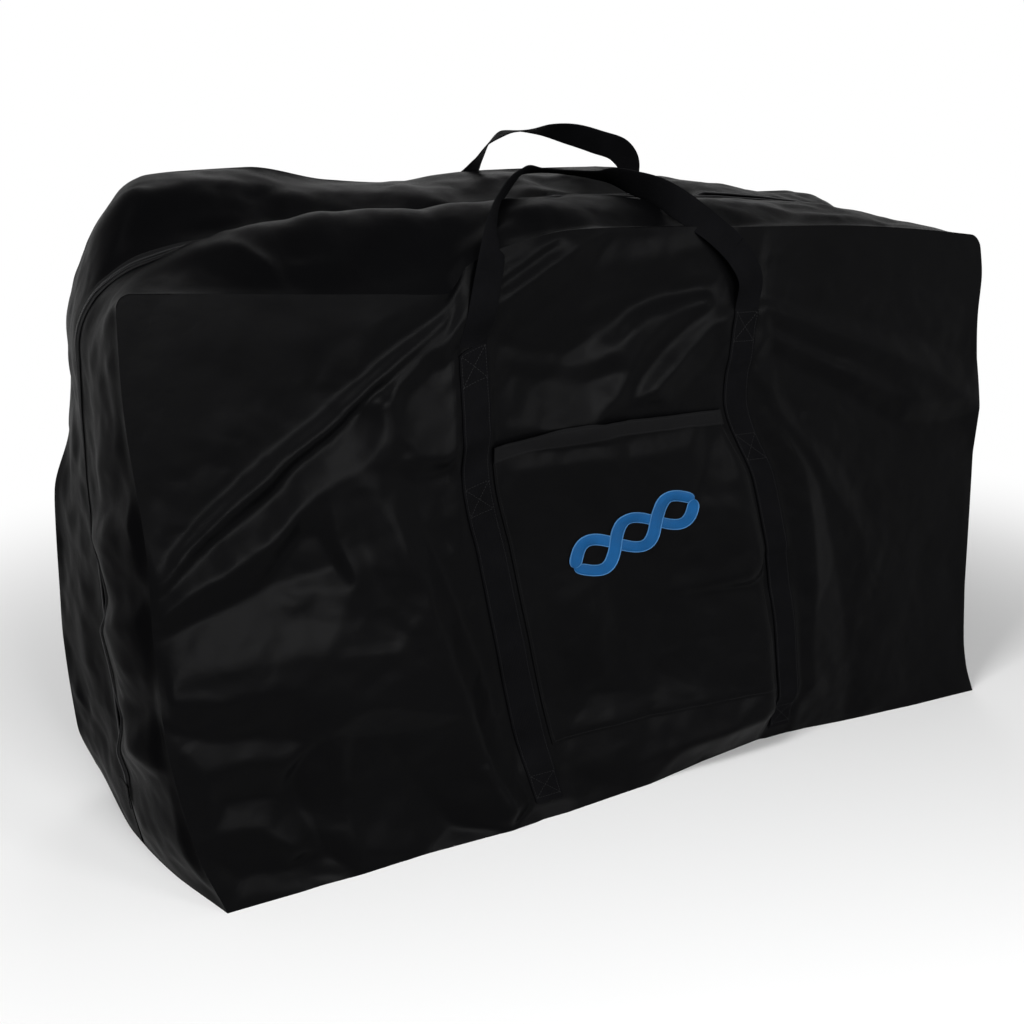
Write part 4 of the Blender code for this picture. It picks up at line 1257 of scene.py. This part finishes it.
def sewn_stops(panel, side, heights):
    """Stops of a handle along its sewn strap, lying and turned as the strap does."""
    cloth = form(panel)
    stops = []
    for v in heights:
        middle, height = np.array([side * STRAP_X]), np.array([v])
        place = cloth.at(middle, height, np.array([SEWN_HEIGHT]))[0]
        across = cloth.at(middle - side * 0.01, height)[0] - cloth.at(middle + side * 0.01, height)[0]
        stops.append((*place, *across / np.linalg.norm(across)))
    return stops


class BAG_OT_handles(bpy.types.Operator):
    """Both carry handles: webbing legs and the loops that slump over the top"""
    bl_idname = "bag.handles"
    bl_label = "Carry handles"

    def execute(self, context):
        sizes = context.scene.bag_sizes
        width, thick = sizes.webbing_width, sizes.webbing_thickness
        for panel, stops, free, depth, hinge, top in HANDLES:
            path = curve_through(sewn_stops(panel, -1, (free - 0.02, free)) + list(stops)
                                 + sewn_stops(panel, 1, (free, free - 0.02)), 0.004)[5:-5]
            lengths = run_lengths(path[:, :3])
            high = np.nonzero(path[:, 2] > top - 0.012)[0]
            first, last = high[0], high[-1]
            for hand, a, b in (("left", 0, first + 1), ("right", last, len(path))):
                leg = free_band(f"{panel}_handle_leg_{hand}_webbing", path[a:b], lengths[a], width, thick)
                finish_piece(leg, webbing(), "black_webbing", f"{panel}_handle_leg_{hand}")
                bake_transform(leg)
            loop = free_band(f"{panel}_handle_loop_webbing", path[first:last + 1], lengths[first], width,
                             thick)
            finish_piece(loop, webbing(), "black_webbing", f"{panel}_handle_loop")
            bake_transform(loop)
        return {"FINISHED"}


# Where each free handle goes, from its left strap to its right one: its middle, then the way its width lies
FRONT_LOOP = (
    (-0.222, -0.203, 0.735, 1.0, 0.0, 0.0),
    (-0.213, -0.204, 0.775, 0.98, 0.05, -0.15),
    (-0.202, -0.197, 0.810, 0.85, 0.12, -0.45),
    (-0.180, -0.160, 0.842, 0.40, 0.30, -0.85),
    (-0.143, -0.106, 0.866, -0.05, 0.39, -0.92),
    (-0.085, -0.035, 0.882, 0.0, 0.75, -0.65),
    (-0.030, 0.025, 0.888, 0.0, 1.0, -0.25),
    (0.030, 0.040, 0.884, 0.0, 1.0, -0.15),
    (0.085, 0.015, 0.876, 0.3, 0.8, -0.35),
    (0.098, -0.060, 0.868, 0.2, 0.35, -0.9),
    (0.100, -0.125, 0.858, -0.2, 0.25, -0.9),
    (0.112, -0.170, 0.838, -0.6, 0.1, -0.7),
    (0.138, -0.197, 0.812, -0.85, 0.0, -0.45),
    (0.168, -0.205, 0.782, -0.95, 0.0, -0.25),
    (0.190, -0.206, 0.745, -1.0, 0.0, -0.05),
)
REAR_LOOP = (
    (-0.196, 0.203, 0.760, 1.0, 0.0, 0.1),
    (-0.170, 0.209, 0.796, 0.85, 0.0, -0.4),
    (-0.128, 0.212, 0.822, 0.6, 0.0, -0.75),
    (-0.082, 0.212, 0.842, 0.6, 0.05, -0.75),
    (-0.048, 0.206, 0.866, 0.75, 0.35, -0.5),
    (-0.032, 0.192, 0.896, 0.6, 0.75, -0.2),
    (-0.020, 0.174, 0.922, 0.35, 0.95, -0.1),
    (0.000, 0.164, 0.936, 0.0, 1.0, 0.0),
    (0.030, 0.162, 0.938, 0.0, 1.0, -0.05),
    (0.070, 0.165, 0.938, 0.0, 0.9, -0.4),
    (0.120, 0.166, 0.929, 0.0, 0.6, -0.75),
    (0.165, 0.168, 0.916, -0.1, 0.5, -0.85),
    (0.212, 0.176, 0.900, -0.3, 0.4, -0.8),
    (0.240, 0.192, 0.872, -0.8, 0.1, -0.5),
    (0.238, 0.203, 0.835, -1.0, 0.0, -0.2),
    (0.215, 0.205, 0.780, -1.0, 0.0, -0.1),
)

# Each handle's panel, loop and free height, its hinges' depth, the legs' hinge zone and the loop's hinge
HANDLES = (
    ("front", FRONT_LOOP, FRONT_FREE, -HALF_DEPTH, (0.685, 0.715), 0.800),
    ("rear", REAR_LOOP, REAR_FREE, HALF_DEPTH, (0.705, 0.735), 0.860),
)

# The zip: its ends on the outline, a tooth's size, and the folded tape over each end
ZIP_START, ZIP_END = 0.1025, GIRTH - 0.1070
TOOTH = (0.00125, 0.0027, 0.0019)
TAB_HALF = 0.020
TAB_HEIGHTS = (0.073, 0.104)


class BAG_OT_zip(bpy.types.Operator):
    """Zip round the ends and top: tapes, toothed coils, end tabs, slider and pull finish"""
    bl_idname = "bag.zip"
    bl_label = "Zip"

    def execute(self, context):
        sizes = context.scene.bag_sizes
        nothing_selected()
        bpy.ops.mesh.primitive_cube_add(size=1)
        tooth = context.object
        put(tooth, vertices(tooth) * TOOTH)
        modify(tooth, "BEVEL", width=0.00035, segments=1)
        for shell, side in (("front", -1), ("rear", 1)):
            cloth = form(f"{shell} gusset")
            inner, outer = sorted((side * 0.0005, side * 0.0165))
            piece = cloth_piece(f"zip_tape_{shell}_cloth", f"{shell} gusset", (ZIP_START, inner),
                                (ZIP_END, outer), 0.004, 0.0006, 0.0012)
            finish_piece(piece, tape("zip_tape_weave", 0.0013), "zip_tape", f"zip_tape_{shell}")
            t, y = even_places(np.linspace(ZIP_START, ZIP_END, 3000), np.full(3000, side * 0.0019), cloth,
                               sizes.tooth_pitch)
            t = t + (0.0 if side < 0 else sizes.tooth_pitch / 2)
            place = cloth.at(t, y, np.full(len(t), 0.0020))
            run = unit(np.gradient(place, axis=0))
            across = unit(np.cross(cloth.facing(t, y), run))
            coil = copies(f"zip_coil_{shell}_teeth", tooth, place, run, across, np.cross(run, across))
            finish_piece(coil, coil_nylon(), "zip_coil_nylon", f"zip_coil_{shell}")
            for part in (piece, coil):
                move_with(part, shell)
        bpy.data.objects.remove(tooth, do_unlink=True)
        for node in ("zip_slider", "zip_pull"):
            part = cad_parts[node]
            part.data.materials.clear()
            part.data.materials.append(lacquer())
        low, high = TAB_HEIGHTS
        end_tab("zip_end_tab_left_cloth", low, high, "zip_end_tab_left")
        end_tab("zip_end_tab_right_cloth", GIRTH - high, GIRTH - low, "zip_end_tab_right")
        return {"FINISHED"}


def end_tab(name, low, high, node):
    """The folded tape sewn over one end of the zip."""
    piece, flat = grid_piece(name, 16, 22)
    t = low + (high - low) * flat[:, 0]
    y = TAB_HALF * (2 * flat[:, 1] - 1)
    out = np.full_like(y, 0.0042)
    front, rear = (form(f"{shell} gusset").at(t, y, out) for shell in ("front", "rear"))
    share = ease((y + 0.003) / 0.006)[:, None]
    lay(piece, front * (1 - share) + rear * share, t, y, 0.0012)
    finish_piece(piece, tape(), "black_nylon", node)
    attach(piece, "rear_shell")


# The pocket: half its width, its foot and its mouth, how far it stands off at its seams, and its hem
POCKET = (0.174, 0.10, 0.55)
POCKET_OFF = 0.0016
HEM_HEIGHT = 0.022


def pocket_out(u, v):
    """How far the pocket's cloth stands off the panel."""
    half, low, _ = POCKET
    side = ease((half - np.abs(u)) / 0.012)
    foot = ease((v - low) / 0.012)
    slack = 0.0022 + 0.0035 * ease((v - 0.30) / 0.25) * ease((half - np.abs(u)) / 0.10)
    return POCKET_OFF + slack * np.minimum(side, foot)


class BAG_OT_pocket(bpy.types.Operator):
    """Patch pocket with its turned hem"""
    bl_idname = "bag.pocket"
    bl_label = "Pocket"

    def execute(self, context):
        half, low, high = POCKET
        piece, flat = grid_piece("pocket_cloth", 100, 128)
        u, v = -half + 2 * half * flat[:, 0], low + (high - low) * flat[:, 1]
        small = crumple((-half, low), (half, high), 0.045, 0.0016, 61, 0.004)(u, v)
        out = pocket_out(u, v)
        out = out + np.maximum(small, -0.0008) * (out - POCKET_OFF) / 0.0045
        lay(piece, form("front").at(u, v, out), u, v, 0.0006)
        finish_piece(piece, nylon(), "black_nylon", "pocket_panel", "pocket_gusset")
        move_with(piece, "front")
        hem, flat = grid_piece("pocket_hem_tape", 110, 8)
        u, v = -half + 2 * half * flat[:, 0], high - HEM_HEIGHT + HEM_HEIGHT * flat[:, 1]
        round_over = np.sin(np.pi * np.clip(flat[:, 1], 0.02, 0.98)) ** 0.4
        lay(hem, form("front").at(u, v, pocket_out(u, v) + 0.0016 + 0.0008 * round_over), u, v, 0.0006)
        finish_piece(hem, tape(), "black_binding_tape", "pocket_hem")
        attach(hem, "front_shell")
        return {"FINISHED"}


MOTIF = {"centre": (0.020, 0.40), "length": 0.21, "swing": 0.024, "stroke": 0.0155, "tilt": 22.0, "eyes": 3}


def motif_line(phase, reach, half):
    """One strand of the twist in the motif's own flat frame, and the share of its width towards its ends."""
    p = np.linspace(-reach, reach, 190)
    wave = np.pi * MOTIF["eyes"] * (p + reach) / (2 * reach)
    past = np.clip(np.abs(p) - (reach - half), 0, half) / half
    return p, phase * MOTIF["swing"] * np.sin(wave), wave, np.sqrt(np.clip(1 - past ** 2, 0.01, 1))


class BAG_OT_motif(bpy.types.Operator):
    """Embroidered twist of two strands, satin stitched with a pale corded edge"""
    bl_idname = "bag.motif"
    bl_label = "Embroidered motif"

    def execute(self, context):
        turn = math.radians(MOTIF["tilt"])
        centre = to_cloth(*MOTIF["centre"])
        half = MOTIF["stroke"] / 2
        reach = MOTIF["length"] / 2 - half
        cloth = form("front")

        def placed(p, q, out):
            u = centre[0] + p * math.cos(turn) - q * math.sin(turn)
            v = centre[1] + (p * math.sin(turn) + q * math.cos(turn)) * 0.97
            return cloth.at(u, v, pocket_out(u, v) + out)

        s = np.linspace(-1, 1, 13)
        crown = [(half * a, 0.0006 + 0.0011 * (1 - a * a) ** 0.5) for a in s]
        ring = np.array(crown + [(half * a, 0.0002) for a in s[::-1]])
        angle = np.linspace(0, 2 * np.pi, 8, endpoint=False)
        cord = np.array([(0.0008 * math.cos(a), 0.0007 + 0.0008 * math.sin(a)) for a in angle])
        parts = []
        for phase, label in ((1, "over"), (-1, "under")):
            p, q, wave, full = motif_line(phase, reach, half)
            dp, dq = np.gradient(p), np.gradient(q)
            size = np.hypot(dp, dq)
            nx, ny = -dq / size, dp / size
            lift = 0.0007 * (0.5 + 0.5 * phase * np.cos(wave))
            wide = [(full * r[0], r[1]) for r in ring]
            rings = np.stack([placed(p + nx * w, q + ny * w, lift + h) for w, h in wide], axis=1)
            run = run_lengths(rings.mean(axis=1))
            strand = band(f"motif_strand_{label}", rings, run, ring)
            finish_piece(strand, embroidery("blue_satin_stitch", "thread"), "blue_thread")
            parts.append(strand)
            for edge, letter in ((-1, "a"), (1, "b")):
                offset = edge * (half * full + 0.0003)
                beside = [(offset + c[0], c[1]) for c in cord]
                rings = np.stack([placed(p + nx * w, q + ny * w, lift + h) for w, h in beside], axis=1)
                piping = band(f"motif_edge_{label}_{letter}", rings, run, cord)
                finish_piece(piping, embroidery("pale_edge_cord", "thread_edge"), "blue_thread")
                parts.append(piping)
        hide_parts("embroidered_motif")
        for part in parts:
            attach(part, "front_shell")
        return {"FINISHED"}


class BAG_OT_inside(bpy.types.Operator):
    """Bound seam allowances inside the bag"""
    bl_idname = "bag.inside"
    bl_label = "Seam binding"

    def execute(self, context):
        for shell, side, ends in (("front", -1, 0.105), ("rear", 1, 0.006)):
            inner, outer = sorted((side * 0.176, side * 0.1885))
            piece = cloth_piece(f"seam_binding_{shell}_tape", f"{shell} gusset", (ends, inner),
                                (GIRTH - ends, outer), 0.005, 0.0010, -0.0026)
            finish_piece(piece, tape(), "black_binding_tape", f"seam_binding_{shell}")
            move_with(piece, shell)
        return {"FINISHED"}


class BAG_OT_stitching(bpy.types.Operator):
    """Rows of stitches along the straps, the pocket, the seams and the zip"""
    bl_idname = "bag.stitching"
    bl_label = "Stitching"

    def execute(self, context):
        sizes = context.scene.bag_sizes
        edge = sizes.webbing_width / 2 - 0.003
        high = sizes.webbing_thickness + 0.0007
        for panel, top in PANELS:
            rows = []
            for side in (-1, 1):
                x = side * STRAP_X
                for offset in (-edge, edge):
                    rows.append(([x + offset, x + offset], [0.028, top - 0.004]))
                # crossed boxes at the top, further down and at the foot
                for a, b in ((top - 0.004, top - 0.044), (top - 0.18, top - 0.22), (0.030, 0.064)):
                    rows += [([x - edge, x + edge], [a, a]), ([x - edge, x + edge], [b, b]),
                             ([x - edge, x + edge], [a, b]), ([x + edge, x - edge], [a, b])]
            sewn = stitches(f"{panel}_strap_stitches", panel, rows, high, sizes.stitch_spacing, 0.0031,
                            0.0008, 0.0007)
            finish_piece(sewn, sewing_thread(), "black_webbing")
            move_with(sewn, panel)
        half, low, high = POCKET
        inset = half - 0.004
        edges = [([-inset, -inset], [high - 0.004, low + 0.004]),
                 ([-inset, inset], [low + 0.004, low + 0.004]),
                 ([inset, inset], [low + 0.004, high - 0.004])]
        rows = edges + [([-half + 0.004, half - 0.004], [high - 0.0195, high - 0.0195]),
                        ([-half + 0.004, half - 0.004], [high - 0.0030, high - 0.0030])]
        sewn = stitches("pocket_stitches", "front", rows, pocket_thread, sizes.stitch_spacing)
        finish_piece(sewn, sewing_thread(), "black_nylon")
        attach(sewn, "front_shell")
        for shell, side in (("front", -1), ("rear", 1)):
            row = ([0.110, GIRTH - 0.112], [side * 0.0140, side * 0.0140])
            sewn = stitches(f"zip_stitches_{shell}", f"{shell} gusset", [row], 0.0018, 0.0045)
            finish_piece(sewn, sewing_thread(), "zip_tape")
            move_with(sewn, shell)
        return {"FINISHED"}


def pocket_thread(u, v):
    """Where a stitch lies on the pocket, and on its hem."""
    return pocket_out(u, v) + np.where(v > POCKET[2] - HEM_HEIGHT, 0.0022, 0.0002)


def seen_directly(tree):
    """1 for what the camera sees, also by a reflection or through a piece, and 0 for other light."""
    path = add_node(tree, "ShaderNodeLightPath").outputs
    seen = maths(tree, "MAXIMUM", path["Is Camera Ray"], path["Is Glossy Ray"])
    return maths(tree, "MAXIMUM", seen, path["Is Transmission Ray"])


# Each lamp's name, place, aim, size in metres and power in watts. SENSOR is the camera's, in millimetres.
LAMPS = (
    ("key_light", (-0.35, -3.30, 1.20), (-0.2, 0, 0.4), 1.0, 84),
    ("side_light", (1.30, -3.30, 1.10), (0.4, 0, 0.4), 0.8, 36),
    ("top_light", (-2.2, -1.2, 3.1), (0, 0, 0.4), 1.0, 86),
    ("rear_light", (1.2, 3.2, 2.8), (0, 0, 0.4), 2.2, 22),
)
WHITE = (1, 1, 1, 1)
SENSOR = 36


def floor_material(colours):
    """Pale to the camera and darker to the light that bounces, fading into plain white far out."""
    material = bpy.data.materials.new("studio_floor")
    material.use_nodes = True
    tree = material.node_tree
    node = tree.nodes["Principled BSDF"]
    node.inputs["Roughness"].default_value = 0.9
    node.inputs["Specular IOR Level"].default_value = 0.1
    where = add_node(tree, "ShaderNodeTexCoord").outputs["Object"]
    far = add_node(tree, "ShaderNodeVectorMath", {0: where}, operation="LENGTH").outputs["Value"]
    fade = add_node(tree, "ShaderNodeMapRange", {"Value": far, 1: 0.8, 2: 1.9},
                    interpolation_type="SMOOTHSTEP").outputs[0]
    seen = seen_directly(tree)
    shown = add_node(tree, "ShaderNodeMix", {0: seen}, data_type="RGBA")
    shown.inputs[6].default_value = (*colours.floor_bounce, 1)
    shown.inputs[7].default_value = (*colours.floor, 1)
    tree.links.new(shown.outputs[2], node.inputs["Base Color"])
    glow = add_node(tree, "ShaderNodeEmission", {"Color": WHITE, "Strength": 1.0})
    mixed = add_node(tree, "ShaderNodeMixShader",
                     {0: maths(tree, "MULTIPLY", fade, seen), 1: node.outputs[0], 2: glow.outputs[0]})
    tree.links.new(mixed.outputs[0], tree.nodes["Material Output"].inputs["Surface"])
    return material


def studio_world():
    """White behind the bag, which lights it only dimly."""
    world = bpy.data.worlds.new("studio")
    world.use_nodes = True
    tree = world.node_tree
    tree.nodes.clear()
    soft, white = (add_node(tree, "ShaderNodeBackground", {"Color": WHITE, "Strength": strength})
                   for strength in (0.22, 1.0))
    mix = add_node(tree, "ShaderNodeMixShader",
                   {0: seen_directly(tree), 1: soft.outputs[0], 2: white.outputs[0]})
    add_node(tree, "ShaderNodeOutputWorld", {"Surface": mix.outputs[0]})
    return world


def photo_camera():
    """The camera as it stood for the photograph."""
    place, right, up, back = camera_axes()
    bpy.ops.object.camera_add(location=place)
    camera = bpy.context.object
    camera.name = "photo_camera"
    camera.rotation_euler = Matrix((right, up, back)).transposed().to_euler()
    camera.data.sensor_width = SENSOR
    camera.data.lens = FOCAL_PIXELS / PHOTO_SIZE * SENSOR
    return camera


class BAG_OT_stage(bpy.types.Operator):
    """Pale floor, soft studio light and the camera"""
    bl_idname = "bag.stage"
    bl_label = "Stage"

    def execute(self, context):
        scene = context.scene
        nothing_selected()
        bpy.ops.mesh.primitive_plane_add(size=16, location=(0, 0, 0))
        floor = context.object
        floor.name = "floor"
        floor.data.materials.append(floor_material(scene.bag_colours))
        scene.world = studio_world()
        for name, place, aim, size, power in LAMPS:
            bpy.ops.object.light_add(type="AREA", location=place)
            lamp = context.object
            lamp.name = name
            lamp.data.size = size
            lamp.data.energy = power
            lamp.rotation_euler = (Vector(aim) - Vector(place)).to_track_quat("-Z", "Y").to_euler()
        scene.camera = photo_camera()
        scene.view_settings.view_transform = "Standard"
        return {"FINISHED"}


class BAG_PT_panel(bpy.types.Panel):
    """Lists the bag's builders"""
    bl_idname = "BAG_PT_panel"
    bl_label = "Bike bag"
    bl_space_type = "VIEW_3D"
    bl_region_type = "UI"
    bl_category = "Bike bag"

    def draw(self, context):
        for group in (context.scene.bag_sizes, context.scene.bag_colours):
            for key in group.bl_rna.properties.keys():
                if key not in ("rna_type", "name"):
                    self.layout.prop(group, key)
        for maker in MAKERS:
            self.layout.operator(maker.bl_idname)


MAKERS = (BAG_OT_front_cloth, BAG_OT_gusset_cloth, BAG_OT_rear_cloth, BAG_OT_straps, BAG_OT_handles,
          BAG_OT_zip, BAG_OT_pocket, BAG_OT_motif, BAG_OT_inside, BAG_OT_stitching, BAG_OT_stage)
CLASSES = (BagSizes, BagColours) + MAKERS + (BAG_PT_panel,)


def register():
    for item in CLASSES:
        bpy.utils.register_class(item)
    bpy.types.Scene.bag_sizes = bpy.props.PointerProperty(type=BagSizes)
    bpy.types.Scene.bag_colours = bpy.props.PointerProperty(type=BagColours)


def unregister():
    del bpy.types.Scene.bag_colours
    del bpy.types.Scene.bag_sizes
    for item in reversed(CLASSES):
        bpy.utils.unregister_class(item)


def main():
    register()
    for maker in MAKERS:
        group, action = maker.bl_idname.split(".")
        getattr(getattr(bpy.ops, group), action)()


if __name__ == "__main__":
    main()
